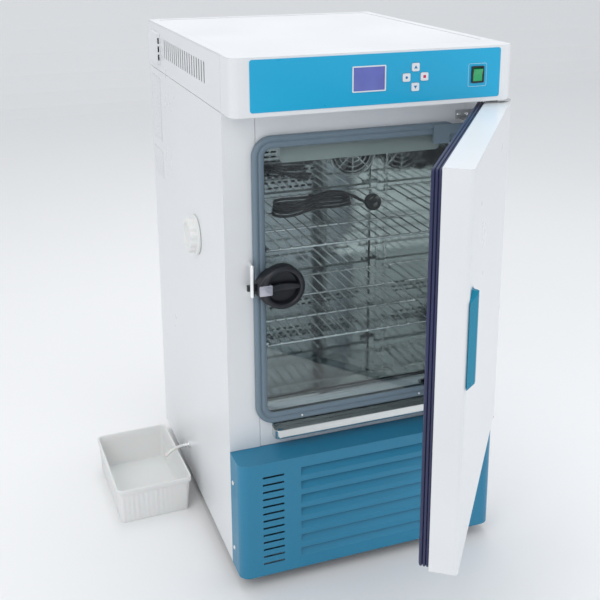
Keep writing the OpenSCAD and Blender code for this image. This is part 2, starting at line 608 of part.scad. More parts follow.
module door_seal() color("midnightblue") at_door() difference() {
    slab(-door_w / 2 + 3, door_w / 2 - 3, y_door_in, y_door_in + door_seal_t, dz0 + 3, dz1 - 3);
    slab(-door_w / 2 + 3 + door_seal_w, door_w / 2 - 3 - door_seal_w, y_door_in - 1, y_front,
        dz0 + 3 + door_seal_w, dz1 - 3 - door_seal_w);
    // two grooves run round the outside
    for (y = [5, 11]) difference() {
        slab(-hw, hw, y_door_in + y, y_door_in + y + 2.5, dz0, dz1);
        slab(-door_w / 2 + 5.5, door_w / 2 - 5.5, y_door_in, y_front, dz0 + 5.5, dz1 - 5.5);
    }
}
// Raised pull along the free edge; its section is drawn from the free edge inwards
module door_handle() color("teal") at_door() translate([-door_w / 2, y_out, z_bot + 624]) difference() {
    linear_extrude(166)
        polygon([[6, 0], [1, -1.2], [19, -12], [24, -12.5], [27, -10], [30, -4], [36, -1], [44, 0]]);
    translate([-1, 0, 154]) rotate([90, 0, 0]) linear_extrude(40, center = true)
        polygon([[0, -6], [46, 30], [0, 30]]);
    translate([-1, 0, 0]) rotate([90, 0, 0]) linear_extrude(40, center = true)
        polygon([[0, -1], [46, -1], [46, 14]]);
}

// ---- Shelves ----
module wire_shelf(z) {
    y0 = y_front + shelf_y;
    pitch = (shelf_w - 10) / (shelf_wires - 1);
    for (i = [0:3])
        rod_x(-shelf_w / 2, shelf_w / 2, y0 + shelf_d * i / 3, z_bot + z, shelf_rail_r, $fn = 10);
    for (i = [0:shelf_wires - 1]) rod_y(-shelf_w / 2 + 5 + pitch * i, y0 - 3, y0 + shelf_d + 3,
        z_bot + z + shelf_rail_r + shelf_wire_r - 1.2, shelf_wire_r, $fn = 8);
}
module shelf_upper() color("silver") wire_shelf(shelf_z[0]);
module shelf_lower() color("silver") wire_shelf(shelf_z[1]);

// ---- Power cord, hanked on the upper shelf ----
module cord_hank() color("black") translate([cord_c[0], cord_c[1], shelf_top_z]) rotate([0, 0, hank_turn])
    linear_extrude(hank_h) polygon(round_rect(hank_l, hank_w, hank_w / 2 - 1, 8));
// Round plug whose face looks forwards and up, with its cord leaving at the side
module cord_plug() color("black") {
    translate([plug_c[0], plug_c[1], shelf_top_z + plug_r + 2]) rotate([60, 0, 0])
        cylinder(r = plug_r, h = 14, center = true);
    translate([plug_c[0], plug_c[1], shelf_top_z + plug_r - 2]) rotate([0, -90, -52]) cylinder(r = 6, h = 54);
}
module cord_connector() color("black") translate([cord_c[0] + 70, cord_c[1] + 74, shelf_top_z])
    rotate([0, 0, hank_turn + 30]) {
        slab(-21, 21, -13.5, 13.5, 1, 19);
        slab(-44, -20, -7, 7, 3, 17);
    }

// ---- Drip tray ----
// Box whose walls lean out from w0 by l0 at the bottom to w1 by l1 at the top
module lean_box(w0, l0, w1, l1, z0, z1) intersection() {
    upright(-l1, l1) polygon([[-w0 / 2, z0], [w0 / 2, z0], [w1 / 2, z1], [-w1 / 2, z1]]);
    along_x(-w1, w1) polygon([[-l0 / 2, z0], [l0 / 2, z0], [l1 / 2, z1], [-l1 / 2, z1]]);
}
module drip_tray() color("white") translate([tray_c[0], tray_c[1], 0]) rotate([0, 0, tray_turn])
    difference() {
    union() {
        lean_box(tray_w - 16, tray_l - 20, tray_w - 6, tray_l - 6, 0, tray_h - 1);
        translate([0, 0, tray_h - 9]) linear_extrude(9) polygon(round_rect(tray_w, tray_l, 10));
    }
    lean_box(tray_w - 22, tray_l - 26, tray_w - 10, tray_l - 10, 3, tray_h + 1);
}

base_frame();
side_panel_left();
side_panel_right();
back_panel();
front_frame();
chamber_liner();
insulation();
shelf_uprights();
duct_panel();
air_deflector();
fan_guard();
fan_motor();
fan_wheel();
evaporator();
heater();
port_tube();
port_cap();
head_shell();
terminal_cover();
top_cover();
head_fascia();
control_overlay();
display_bezel();
display_screen();
controller_board();
button_up();
button_down();
button_left();
button_right();
switch_bezel();
switch_rocker();
lower_cover();
cover_screws();
compressor();
condenser();
condenser_shroud();
condenser_fan();
latch_catch();
drip_gutter();
drain_stub();
drain_hose();
power_inlet();
glass_hinges();
door_hinges();
glass_pane();
glass_seal();
latch_base();
latch_knob();
latch_insert();
door_shell();
door_liner();
door_foam();
door_seal();
door_handle();
shelf_upper();
shelf_lower();
drip_tray();
cord_hank();
cord_plug();
cord_connector();
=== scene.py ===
"""Dresses a laboratory incubator: its finishes, seals, latch, tray, shelves, cords and studio stage."""

import json
from math import atan2, cos, pi, radians, sin

import bmesh
import bpy
import numpy as np
from bpy.props import FloatProperty, FloatVectorProperty, PointerProperty
from mathutils import Euler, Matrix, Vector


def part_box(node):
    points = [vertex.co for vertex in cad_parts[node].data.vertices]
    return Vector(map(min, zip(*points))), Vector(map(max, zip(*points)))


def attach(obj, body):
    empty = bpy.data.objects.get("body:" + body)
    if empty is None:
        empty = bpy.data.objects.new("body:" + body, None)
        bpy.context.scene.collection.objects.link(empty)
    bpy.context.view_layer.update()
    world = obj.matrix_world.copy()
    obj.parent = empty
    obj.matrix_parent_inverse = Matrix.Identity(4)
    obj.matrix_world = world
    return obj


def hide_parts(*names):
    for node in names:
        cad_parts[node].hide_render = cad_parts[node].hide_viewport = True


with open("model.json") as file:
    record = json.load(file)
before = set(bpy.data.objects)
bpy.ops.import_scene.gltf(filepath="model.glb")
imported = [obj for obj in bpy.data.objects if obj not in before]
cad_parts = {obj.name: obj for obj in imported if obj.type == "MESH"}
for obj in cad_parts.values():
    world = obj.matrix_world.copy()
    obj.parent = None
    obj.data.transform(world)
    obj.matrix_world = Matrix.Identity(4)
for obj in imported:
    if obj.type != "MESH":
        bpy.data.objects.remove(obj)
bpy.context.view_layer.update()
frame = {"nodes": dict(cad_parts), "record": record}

bl_info = {
    "name": "Laboratory Incubator",
    "version": (1, 0, 0),
    "blender": (4, 5, 0),
    "location": "3D View > Sidebar > Incubator",
    "description": "Builds the finishes, seals, fittings and cords of an upright incubator",
    "category": "Object",
}

MM = 0.001


# ---- Settings ----
def length(name, description, default):
    """A length property in metres."""
    return FloatProperty(name=name, description=description, default=default, unit="LENGTH", precision=4)


def colour(name, description, default):
    """A linear colour property."""
    return FloatVectorProperty(name=name, description=description, default=default, subtype="COLOR",
                               size=3, min=0.0, max=1.0)


class IncubatorSizes(bpy.types.PropertyGroup):
    """Sizes of the pieces that the surfaces below are worked out from."""
    cord_d: length("Cord diameter", "Outer diameter of the power cord", 0.007)
    hose_d: length("Hose diameter", "Outer diameter of the drain hose", 0.008)
    door_w: length("Door width", "Width of the outer door", 0.598)
    door_t: length("Door thickness", "Thickness of the outer door's shell", 0.050)
    seal_w: length("Door seal width", "Width of the outer door's seal", 0.011)
    seal_t: length("Door seal thickness", "Height of the outer door's seal", 0.0185)
    glass_seal_w: length("Glass seal width", "Width of the seal round the glass", 0.025)
    knob_r: length("Knob radius", "Radius of the latch knob", 0.046)
    wire_r: length("Wire radius", "Radius of a shelf's thin wires", 0.0018)
    rail_r: length("Rail radius", "Radius of a shelf's cross rails", 0.0028)


class IncubatorColours(bpy.types.PropertyGroup):
    """Main colours of the finishes."""
    white: colour("White", "Powder coat of the cabinet and doors", (0.80, 0.815, 0.83))
    teal: colour("Teal", "Powder coat of the lower cover", (0.012, 0.205, 0.36))
    film: colour("Panel film", "Printed film of the control panel", (0.005, 0.40, 0.68))
    pull: colour("Door pull", "Moulding of the door pull", (0.002, 0.23, 0.37))
    gasket: colour("Door gasket", "Seal of the outer door", (0.022, 0.027, 0.085))
    glass_gasket: colour("Glass gasket", "Seal round the glass", (0.165, 0.225, 0.275))


# ---- Meshes ----
def corners(node):
    """The low and the high corner of a node's box, as arrays."""
    low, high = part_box(node)
    return np.array(low), np.array(high)


def grid_faces(rows, cols, wrap_cols=True, first=0):
    """Quads of a grid of points numbered row by row. Cell (r, c) joins its four corners; wrapped columns
    join the last column to the first."""
    r = np.arange(rows - 1)[:, None]
    c = np.arange(cols if wrap_cols else cols - 1)[None, :]
    n = (c + 1) % cols
    quads = np.stack([r * cols + c, r * cols + n, (r + 1) * cols + n, (r + 1) * cols + c], axis=-1)
    return (quads.reshape(-1, 4) + first).tolist()


def shell(rings):
    """A closed shell from an array (rings, points, 3): quads between neighbouring rings, and one flat
    face over the first ring and one over the last."""
    rows, cols, _ = rings.shape
    faces = grid_faces(rows, cols)
    faces.append(list(range(cols))[::-1])
    faces.append(list(range((rows - 1) * cols, rows * cols)))
    return rings.reshape(-1, 3), faces


def join(parts):
    """One list of points and faces from several: each part's numbers go up by the points before it."""
    points, faces, count = [], [], 0
    for p, f in parts:
        points.append(p)
        faces.extend([[i + count for i in face] for face in f])
        count += len(p)
    return np.concatenate(points), faces


def carried(name, data, body, replaces):
    """An object of a mesh or curve, in the scene, that stands for its nodes and rides on a body."""
    obj = bpy.data.objects.new(name, data)
    bpy.context.scene.collection.objects.link(obj)
    if replaces:
        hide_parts(*replaces)
    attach(obj, body)
    return obj


def piece(name, part, body, material, replaces=(), smooth=40):
    """A mesh object from (points, faces), facing outwards, that rides on a body."""
    mesh = bpy.data.meshes.new(name)
    mesh.from_pydata(np.asarray(part[0], float).tolist(), [], part[1])
    b = bmesh.new()
    b.from_mesh(mesh)
    bmesh.ops.recalc_face_normals(b, faces=b.faces)
    b.to_mesh(mesh)
    b.free()
    mesh.polygons.foreach_set("use_smooth", [True] * len(mesh.polygons))
    mesh.set_sharp_from_angle(angle=radians(smooth))
    mesh.materials.append(material)
    return carried(name, mesh, body, replaces)


def tube(path, radius, sides=10):
    """A round tube along a path: at each point a circle of the radius lies across the direction from the
    point before to the point after, turned so that one diameter stays level."""
    path = np.asarray(path, float)
    along = np.gradient(path, axis=0)
    along /= np.linalg.norm(along, axis=1)[:, None]
    ref = np.array([0, 0, 1.0]) if np.abs(along[:, 2]).max() < 0.95 else np.array([0, 1.0, 0.13])
    side = np.cross(along, ref)
    side /= np.linalg.norm(side, axis=1)[:, None]
    up = np.cross(side, along)
    a = np.linspace(0, 2 * pi, sides, endpoint=False)
    rings = path[:, None] + radius * (side[:, None] * np.cos(a)[None, :, None]
                                      + up[:, None] * np.sin(a)[None, :, None])
    return shell(rings)


def round_loop(w, h, r, corner=8, side=1):
    """Outline of a w by h rectangle with corners of radius r, centred on the origin, and its outward
    directions. A corner's points are its centre plus r times (cos, sin); a side is cut into equal steps."""
    points, outs = [], []
    for i, (sx, sy) in enumerate(((1, 1), (-1, 1), (-1, -1), (1, -1))):
        a = np.linspace(0, pi / 2, corner + 1) + i * pi / 2
        out = np.stack([np.cos(a), np.sin(a)], axis=1)
        points.append(np.array([sx * (w / 2 - r), sy * (h / 2 - r)]) + r * out)
        outs.append(out)
    full, normal = [], []
    for i in range(4):
        full.append(points[i])
        normal.append(outs[i])
        t = (np.arange(1, side) / side)[:, None]
        full.append(points[i][-1] * (1 - t) + points[(i + 1) % 4][0] * t)
        normal.append(np.repeat(outs[i][-1:], len(t), axis=0))
    return np.concatenate(full), np.concatenate(normal)


def frame_loop(w, h, r, profile, centre, corner=8):
    """A closed ring in the X and Z plane: a profile of (outwards, forwards) steps carried round a rounded
    rectangle. Point = outline + outwards times its direction, with forwards taken along -Y."""
    line, out = round_loop(w, h, r, corner)
    flat = line[:, None] + out[:, None] * profile[None, :, 0:1]
    y = np.broadcast_to(-profile[None, :, 1], flat.shape[:2])
    points = np.stack([flat[..., 0], y, flat[..., 1]], axis=-1) + np.asarray(centre)
    rows, cols, _ = points.shape
    closed = np.concatenate([points, points[:1]])
    faces = [[i % (rows * cols) for i in f] for f in grid_faces(rows + 1, cols)]
    return closed[:rows].reshape(-1, 3), faces


def turned_along(profile, start, direction, sides=28, wave=None):
    """A surface turned about a line from a start point: ring k has the profile's radius and lies its
    distance along the direction. A wave scales the radius by angle and ring."""
    d = np.asarray(direction, float) / np.linalg.norm(direction)
    u = np.cross(d, [0.0, 0.0, 1.0])
    u /= np.linalg.norm(u)
    v = np.cross(u, d)
    a = np.linspace(0, 2 * pi, sides, endpoint=False)
    r = np.repeat(profile[:, 0:1], sides, axis=1)
    if wave is not None:
        r = r * wave(a[None, :], np.arange(len(profile))[:, None])
    rings = (np.asarray(start) + profile[:, None, 1:2] * d
             + r[..., None] * (np.cos(a)[:, None] * u + np.sin(a)[:, None] * v))
    return shell(rings)


def turned(profile, centre, sides):
    """A surface turned about a line along Y: ring k lies its distance in front of the centre."""
    return turned_along(profile, centre, (0.0, -1.0, 0.0), sides)


def plate(outline, y_front, y_back, round_off=0.0):
    """A flat shape in X and Z between two depths. With a round-off, its front edge steps in twice along a
    quarter circle towards the shape's middle."""
    outline = np.asarray(outline, float)
    mid = outline.mean(axis=0)
    size = np.linalg.norm(outline - mid, axis=1).max()
    rings = []
    for share, y in ((0.0, y_back), (0.0, y_front + round_off), (0.3, y_front + 0.3 * round_off),
                     (1.0, y_front)):
        flat = mid + (outline - mid) * (1 - share * round_off / size)
        rings.append(np.stack([flat[:, 0], np.full(len(flat), y), flat[:, 1]], axis=1))
    return shell(np.array(rings))


# ---- Node groups ----
def socketed(name, inputs, outputs):
    """An empty shader group with float or vector inputs and named outputs."""
    group = bpy.data.node_groups.new(name, "ShaderNodeTree")
    for label, default in inputs:
        item = group.interface.new_socket(name=label, in_out="INPUT", socket_type="NodeSocketFloat")
        item.default_value = default
    for label, kind in outputs:
        group.interface.new_socket(name=label, in_out="OUTPUT", socket_type=kind)
    return group, group.nodes.new("NodeGroupInput"), group.nodes.new("NodeGroupOutput")


def maths(tree, operation, a, b=None):
    """A Math node whose inputs are sockets or numbers; returns its output."""
    node = tree.nodes.new("ShaderNodeMath")
    node.operation = operation
    for i, value in enumerate((a, b)):
        if value is None:
            continue
        if isinstance(value, (int, float)):
            node.inputs[i].default_value = value
        else:
            tree.links.new(value, node.inputs[i])
    return node.outputs[0]


def noise_of(tree, detail, scale):
    """The output of a noise on Object coordinates, whose scale is a number or a socket."""
    place = tree.nodes.new("ShaderNodeTexCoord")
    noise = tree.nodes.new("ShaderNodeTexNoise")
    noise.inputs["Detail"].default_value = detail
    tree.links.new(place.outputs["Object"], noise.inputs["Vector"])
    if isinstance(scale, float):
        noise.inputs["Scale"].default_value = scale
    else:
        tree.links.new(scale, noise.inputs["Scale"])
    return noise.outputs["Fac"]


def make_surface_grain():
    """Fine peel and slow drift: one noise at the scale for the height, one far slower for the tone."""
    group, given, out = socketed("surface_grain", [("Scale", 600.0), ("Drift", 6.0)],
                                 [("Height", "NodeSocketFloat"), ("Tone", "NodeSocketFloat")])
    for label, detail, socket in (("Scale", 2.0, "Height"), ("Drift", 6.0, "Tone")):
        group.links.new(noise_of(group, detail, given.outputs[label]), out.inputs[socket])
    return group


def make_edge_wear_and_highlight():
    """A rounded normal, and a mask that is bright where that normal leaves the flat one, as at an edge.
    Finishes tint their edges through this mask, with wear on some and with a painted highlight on others.
    """
    group, given, out = socketed("edge_wear_and_highlight", [("Radius", 0.0012), ("Breakup", 90.0)],
                                 [("Mask", "NodeSocketFloat"), ("Normal", "NodeSocketVector")])
    soft = group.nodes.new("ShaderNodeBevel")
    soft.samples = 4
    group.links.new(given.outputs["Radius"], soft.inputs["Radius"])
    flat = group.nodes.new("ShaderNodeNewGeometry")
    dot = group.nodes.new("ShaderNodeVectorMath")
    dot.operation = "DOT_PRODUCT"
    group.links.new(soft.outputs["Normal"], dot.inputs[0])
    group.links.new(flat.outputs["Normal"], dot.inputs[1])
    edge = maths(group, "MULTIPLY", maths(group, "SUBTRACT", 1.0, dot.outputs["Value"]), 6.0)
    broken = maths(group, "MULTIPLY", edge, noise_of(group, 4.0, given.outputs["Breakup"]))
    group.links.new(maths(group, "MINIMUM", broken, 1.0), out.inputs["Mask"])
    group.links.new(soft.outputs["Normal"], out.inputs["Normal"])
    return group


def make_drawn_lines():
    """Long fine scratches: a noise that is stretched along X and squeezed along Y and Z."""
    group, given, out = socketed("drawn_lines", [("Across", 900.0), ("Along", 12.0)],
                                 [("Lines", "NodeSocketFloat")])
    place = group.nodes.new("ShaderNodeTexCoord")
    split = group.nodes.new("ShaderNodeSeparateXYZ")
    merge = group.nodes.new("ShaderNodeCombineXYZ")
    noise = group.nodes.new("ShaderNodeTexNoise")
    noise.inputs["Scale"].default_value = 1.0
    noise.inputs["Detail"].default_value = 3.0
    group.links.new(place.outputs["Object"], split.inputs[0])
    for axis, label in (("X", "Along"), ("Y", "Across"), ("Z", "Across")):
        group.links.new(maths(group, "MULTIPLY", split.outputs[axis], given.outputs[label]),
                        merge.inputs[axis])
    group.links.new(merge.outputs[0], noise.inputs["Vector"])
    group.links.new(noise.outputs["Fac"], out.inputs["Lines"])
    return group


def make_settled_dust():
    """A thin patchy film that lies only on what faces up: the normal's upward part times a slow noise."""
    group, given, out = socketed("settled_dust", [("Amount", 0.3)], [("Mask", "NodeSocketFloat")])
    flat = group.nodes.new("ShaderNodeNewGeometry")
    split = group.nodes.new("ShaderNodeSeparateXYZ")
    group.links.new(flat.outputs["Normal"], split.inputs[0])
    up = maths(group, "MAXIMUM", split.outputs["Z"], 0.0)
    patchy = maths(group, "MULTIPLY", up, noise_of(group, 8.0, 14.0))
    group.links.new(maths(group, "MULTIPLY", patchy, given.outputs["Amount"]), out.inputs["Mask"])
    return group


GROUPS = {}


def placed(tree, name, **values):
    """One of the shared groups, made on first use, placed in a material with its own values."""
    makers = {"surface_grain": make_surface_grain, "edge_wear_and_highlight": make_edge_wear_and_highlight,
              "drawn_lines": make_drawn_lines, "settled_dust": make_settled_dust}
    if name not in GROUPS:
        GROUPS[name] = makers[name]()
    node = tree.nodes.new("ShaderNodeGroup")
    node.node_tree = GROUPS[name]
    for label, value in values.items():
        node.inputs[label].default_value = value
    return node


def blended(tree, factor, a, b):
    """A colour Mix node: a where the factor is 0 and b where it is 1."""
    node = tree.nodes.new("ShaderNodeMix")
    node.data_type = "RGBA"
    tree.links.new(factor, node.inputs["Factor"])
    for socket, value in ((node.inputs[6], a), (node.inputs[7], b)):
        if isinstance(value, (tuple, list)):
            socket.default_value = (*value, 1.0)
        else:
            tree.links.new(value, socket)
    return node.outputs[2]


def ranged(tree, value, low, high):
    """A Map Range node from 0.3..0.7, where a noise lies, to low..high."""
    node = tree.nodes.new("ShaderNodeMapRange")
    for label, number in (("From Min", 0.3), ("From Max", 0.7), ("To Min", low), ("To Max", high)):
        node.inputs[label].default_value = number
    tree.links.new(value, node.inputs["Value"])
    return node.outputs[0]


# ---- Finishes ----
FINISHES = {}


def finish(name, base, roughness, metallic=0.0, grain=600.0, bump=0.05, tone=0.05, drift=5.0, rub=None,
           rub_share=0.5, lines=False, radius=0.001, dust=0.0, **plain):
    """A Principled finish. Its colour drifts by the tone share either way, its roughness follows, its edges
    are rounded in shading, and its edges take their own colour: wear on some finishes and a painted
    highlight on others."""
    if name in FINISHES:
        return FINISHES[name]
    material = bpy.data.materials.new(name)
    material.use_nodes = True
    tree = material.node_tree
    shader = tree.nodes["Principled BSDF"]
    shader.inputs["Metallic"].default_value = metallic
    for label, value in plain.items():
        shader.inputs[label.replace("_", " ")].default_value = value
    surface = placed(tree, "surface_grain", Scale=grain, Drift=drift)
    height, slow = surface.outputs["Height"], surface.outputs["Tone"]
    if lines:
        height = placed(tree, "drawn_lines", Across=900.0, Along=12.0).outputs["Lines"]
        slow = height
    dark = tuple(c * (1 - tone) for c in base)
    light = tuple(min(1.0, c * (1 + tone)) for c in base)
    shade = blended(tree, ranged(tree, slow, 0.0, 1.0), dark, light)
    edge = placed(tree, "edge_wear_and_highlight", Radius=radius)
    # Edge colour: wear on some finishes, a painted highlight on others.
    if rub is not None:
        shade = blended(tree, maths(tree, "MULTIPLY", edge.outputs["Mask"], rub_share), shade, rub)
    if dust:
        film = placed(tree, "settled_dust", Amount=dust)
        shade = blended(tree, film.outputs["Mask"], shade, (0.62, 0.60, 0.57))
    tree.links.new(shade, shader.inputs["Base Color"])
    spread = 0.2 * roughness
    tree.links.new(ranged(tree, slow, roughness - spread, roughness + spread), shader.inputs["Roughness"])
    relief = tree.nodes.new("ShaderNodeBump")
    relief.inputs["Strength"].default_value = bump
    relief.inputs["Distance"].default_value = 0.0004
    tree.links.new(height, relief.inputs["Height"])
    tree.links.new(edge.outputs["Normal"], relief.inputs["Normal"])
    tree.links.new(relief.outputs["Normal"], shader.inputs["Normal"])
    FINISHES[name] = material
    return material


def clear_glass():
    """A tinted pane that reflects at its faces. Lamps shine through it, as its shadow rays pass."""
    if "clear_glass" not in FINISHES:
        material = finish("clear_glass", (0.80, 0.86, 0.86), 0.01, bump=0.0, tone=0.03, drift=3.0,
                          Transmission_Weight=1.0, IOR=1.45)
        tree = material.node_tree
        through = tree.nodes.new("ShaderNodeBsdfTransparent")
        through.inputs["Color"].default_value = (0.80, 0.86, 0.86, 1.0)
        path = tree.nodes.new("ShaderNodeLightPath")
        either = tree.nodes.new("ShaderNodeMixShader")
        tree.links.new(path.outputs["Is Shadow Ray"], either.inputs[0])
        tree.links.new(tree.nodes["Principled BSDF"].outputs[0], either.inputs[1])
        tree.links.new(through.outputs[0], either.inputs[2])
        tree.links.new(either.outputs[0], tree.nodes["Material Output"].inputs["Surface"])
        FINISHES["clear_glass"] = material
    return FINISHES["clear_glass"]


def screen_finish():
    """A backlit display: a dim blue glow that is brighter in patches, under a gloss front."""
    if "screen" not in FINISHES:
        material = finish("screen", (0.07, 0.09, 0.30), 0.12, grain=2500.0, bump=0.01, tone=0.15, drift=22.0,
                          Coat_Weight=0.6, Coat_Roughness=0.05)
        tree = material.node_tree
        shader = tree.nodes["Principled BSDF"]
        glow = placed(tree, "surface_grain", Scale=900.0, Drift=25.0)
        lit = blended(tree, ranged(tree, glow.outputs["Tone"], 0.0, 1.0), (0.075, 0.085, 0.33),
                      (0.12, 0.135, 0.42))
        tree.links.new(lit, shader.inputs["Emission Color"])
        shader.inputs["Emission Strength"].default_value = 0.45
    return FINISHES["screen"]


def latch_base_finish():
    """Dark moulding under the latch, and painted like the glass's seal where the hinge shoes cross it."""
    if "latch_base" not in FINISHES:
        seal = tuple(bpy.context.scene.incubator_colours.glass_gasket)
        material = finish("latch_base", (0.02, 0.022, 0.028), 0.45, grain=900.0, bump=0.05, tone=0.1)
        tree = material.node_tree
        shader = tree.nodes["Principled BSDF"]
        place = tree.nodes.new("ShaderNodeTexCoord")
        split = tree.nodes.new("ShaderNodeSeparateXYZ")
        tree.links.new(place.outputs["Object"], split.inputs[0])
        right = maths(tree, "GREATER_THAN", split.outputs["X"], 0.1)
        dark = shader.inputs["Base Color"].links[0].from_socket
        tree.links.new(blended(tree, right, dark, seal), shader.inputs["Base Color"])
    return FINISHES["latch_base"]


def finish_for(slot):
    """The finish of one of the record's material slots."""
    if slot == "screen":
        return screen_finish()
    if slot == "clear_glass":
        return clear_glass()
    c = bpy.context.scene.incubator_colours
    worn_steel = (0.5, 0.5, 0.5)
    recipes = {
        "white_steel": dict(base=tuple(c.white), roughness=0.34, grain=850.0, bump=0.05,
            tone=0.02, rub=(0.55, 0.56, 0.58), rub_share=0.25, radius=0.0018,
            Coat_Weight=0.15, Coat_Roughness=0.2),
        "dark_steel": dict(base=(0.05, 0.05, 0.055), roughness=0.5, metallic=0.2, tone=0.2,
            rub=worn_steel, dust=0.5),
        "zinc_steel": dict(base=(0.55, 0.56, 0.56), roughness=0.36, metallic=0.9, grain=300.0,
            tone=0.06, drift=25.0, rub=(0.75, 0.75, 0.75)),
        "mirror_steel": dict(base=(0.66, 0.685, 0.68), roughness=0.07, metallic=1.0, bump=0.001,
            tone=0.08, lines=True, radius=0.002),
        "foam": dict(base=(0.75, 0.64, 0.36), roughness=0.9, grain=450.0, bump=0.6, tone=0.12),
        # Frosted plate: its lighter edge colour is a painted highlight.
        "frosted_plate": dict(base=(0.46, 0.51, 0.50), roughness=0.42, grain=900.0, bump=0.05,
            tone=0.05, rub=(0.6, 0.65, 0.62)),
        "chrome_wire": dict(base=(0.93, 0.94, 0.93), roughness=0.16, metallic=1.0, bump=0.02,
            tone=0.1, drift=30.0, radius=0.0006),
        # White plastic: its whiter edge colour is a painted highlight.
        "white_plastic": dict(base=(0.80, 0.81, 0.80), roughness=0.38, grain=500.0, bump=0.05,
            tone=0.02, rub=(0.9, 0.9, 0.9), rub_share=0.2,
            Subsurface_Weight=0.12, Subsurface_Scale=0.004),
        "fin_aluminium": dict(base=(0.62, 0.63, 0.64), roughness=0.33, metallic=1.0, lines=True,
            tone=0.1, dust=0.4),
        "panel_blue": dict(base=tuple(c.film), roughness=0.3, grain=1500.0, bump=0.03, tone=0.025,
            radius=0.0004, Coat_Weight=0.12, Coat_Roughness=0.2),
        "white_gloss": dict(base=(0.80, 0.83, 0.87), roughness=0.22, grain=400.0, bump=0.03,
            tone=0.02, Coat_Weight=0.3, Coat_Roughness=0.08),
        "board": dict(base=(0.02, 0.13, 0.06), roughness=0.4, grain=260.0, bump=0.3, tone=0.25,
            drift=120.0),
        "black_plastic": dict(base=(0.012, 0.014, 0.019), roughness=0.36, grain=1100.0,
            bump=0.12, tone=0.2, rub=(0.05, 0.055, 0.065), rub_share=0.8),
        "green_rocker": dict(base=(0.012, 0.30, 0.10), roughness=0.2, grain=700.0, bump=0.02,
            tone=0.12, drift=80.0, Emission_Color=(0.01, 0.35, 0.12, 1.0),
            Emission_Strength=0.18, Coat_Weight=0.5),
        # Teal cover: its lighter teal edge colour is a painted highlight.
        "teal_steel": dict(base=tuple(c.teal), roughness=0.38, grain=850.0, bump=0.06, tone=0.04,
            rub=(0.16, 0.42, 0.55), rub_share=0.45, radius=0.0015,
            Coat_Weight=0.15, Coat_Roughness=0.25),
        "silicone": dict(base=(0.78, 0.78, 0.76), roughness=0.35, grain=300.0, bump=0.04, tone=0.05,
            Subsurface_Weight=0.4, Subsurface_Scale=0.003),
        # Glass seal: its lighter blue edge colour is a painted highlight.
        "seal_blue": dict(base=tuple(c.glass_gasket), roughness=0.45, grain=900.0, bump=0.08,
            tone=0.06, rub=(0.25, 0.34, 0.40), rub_share=0.5),
        # Door seal: its pale lavender edge colour paints highlight stripes on the ribs.
        "seal_navy": dict(base=tuple(c.gasket), roughness=0.42, grain=900.0, bump=0.08, tone=0.12,
            rub=(0.20, 0.22, 0.32), rub_share=0.6, radius=0.0008),
        "insert_silver": dict(base=(0.50, 0.50, 0.56), roughness=0.3, metallic=0.85, lines=True,
            tone=0.06),
        # Door pull: its lighter teal edge colour is a painted highlight.
        "teal_plastic": dict(base=tuple(c.pull), roughness=0.28, grain=800.0, bump=0.04,
            tone=0.04, rub=(0.02, 0.36, 0.52), rub_share=0.3,
            Specular_IOR_Level=0.3),
        "cord_black": dict(base=(0.010, 0.010, 0.011), roughness=0.38, grain=700.0, bump=0.1,
            tone=0.25, drift=25.0, radius=0.0005, rub=(0.05, 0.05, 0.05)),
    }
    return finish(slot, **recipes[slot])


# ---- Places ----
def at_door(points):
    """Turns points drawn for the shut outer door to where it stands open: a turn about its hinge line by
    the angle from shut to rest, which is the hinge's lower limit with its sign changed."""
    hinge = next(j for j in frame["record"]["behaviour"]["joints"] if j["name"] == "outer_door_hinge")
    a = radians(-hinge["range_deg"][0])
    x0, y0, _ = hinge["pos_m"]
    x, y = points[:, 0] - x0, points[:, 1] - y0
    return np.stack([x0 + x * cos(a) - y * sin(a), y0 + x * sin(a) + y * cos(a), points[:, 2]], axis=1)


def smooth_line(points, count):
    """A smooth line through points: a Catmull-Rom curve whose steps are even in the points' number."""
    p = np.asarray(points, float)
    ends = np.concatenate([2 * p[:1] - p[1:2], p, 2 * p[-1:] - p[-2:-1]])
    t = np.linspace(0, len(p) - 1, count)
    i = np.minimum(t.astype(int), len(p) - 2)
    u = (t - i)[:, None]
    a, b, c, d = (ends[i + k] for k in range(4))
    return 0.5 * (2 * b + (c - a) * u + (2 * a - 5 * b + 4 * c - d) * u ** 2
                  + (3 * b - a - 3 * c + d) * u ** 3)


# ---- Cords ----
HANK_TURN = radians(12)
HANK_CENTRE = (-0.022, -0.088)
HANK_REACH = 0.10095
HANK_WAIST = 0.009
HANK_SPREAD = 0.054
HANK_RISE = 0.0085
HANK_FROM, HANK_TO = 100, 1350
SHELF_TOP = 0.73285
PLUG = (0.108, -0.142)


def hank_line():
    """The hank's centreline. Each turn is an oval of reach A whose half width is the waist plus the rest of
    the spread times |cos t| to the power 1.3, and it climbs one rise a turn, so that a turn lies on the one
    before. A lead comes in from the connector at the waist, and the end passes over to the plug."""
    t = np.radians(np.linspace(HANK_FROM, HANK_TO, 90))
    k = (np.degrees(t) - HANK_FROM) / 360
    x = HANK_REACH * np.cos(t) * (1 - 0.015 * k)
    wide = HANK_WAIST + (HANK_SPREAD - HANK_WAIST) * (np.cos(t) ** 2 + 0.02) ** 0.65
    y = np.sin(t) * wide * (1 + 0.04 * np.sin(2.3 * k))
    turns = np.stack([x, y, 0.0035 + HANK_RISE * k], axis=1)
    lead = MM * np.array([[46, 36, 9.5], [36, 30.5, 7.3], [25, 25, 5], [12, 17, 3.7]])
    end = MM * np.array([[20, -10.8, 34.5], [36, -14, 36], [54, -19, 36.5], [70, -27, 36], [84, -34, 32.5],
                         [96, -45, 26], [105.4, -58.3, 20]])
    return np.concatenate([lead, turns, end])


def on_shelf(points):
    """Turns points from the hank's own frame and sets them on the upper shelf."""
    c, s = cos(HANK_TURN), sin(HANK_TURN)
    x, y, z = points.T
    return np.stack([HANK_CENTRE[0] + c * x - s * y, HANK_CENTRE[1] + s * x + c * y, SHELF_TOP + z], axis=1)


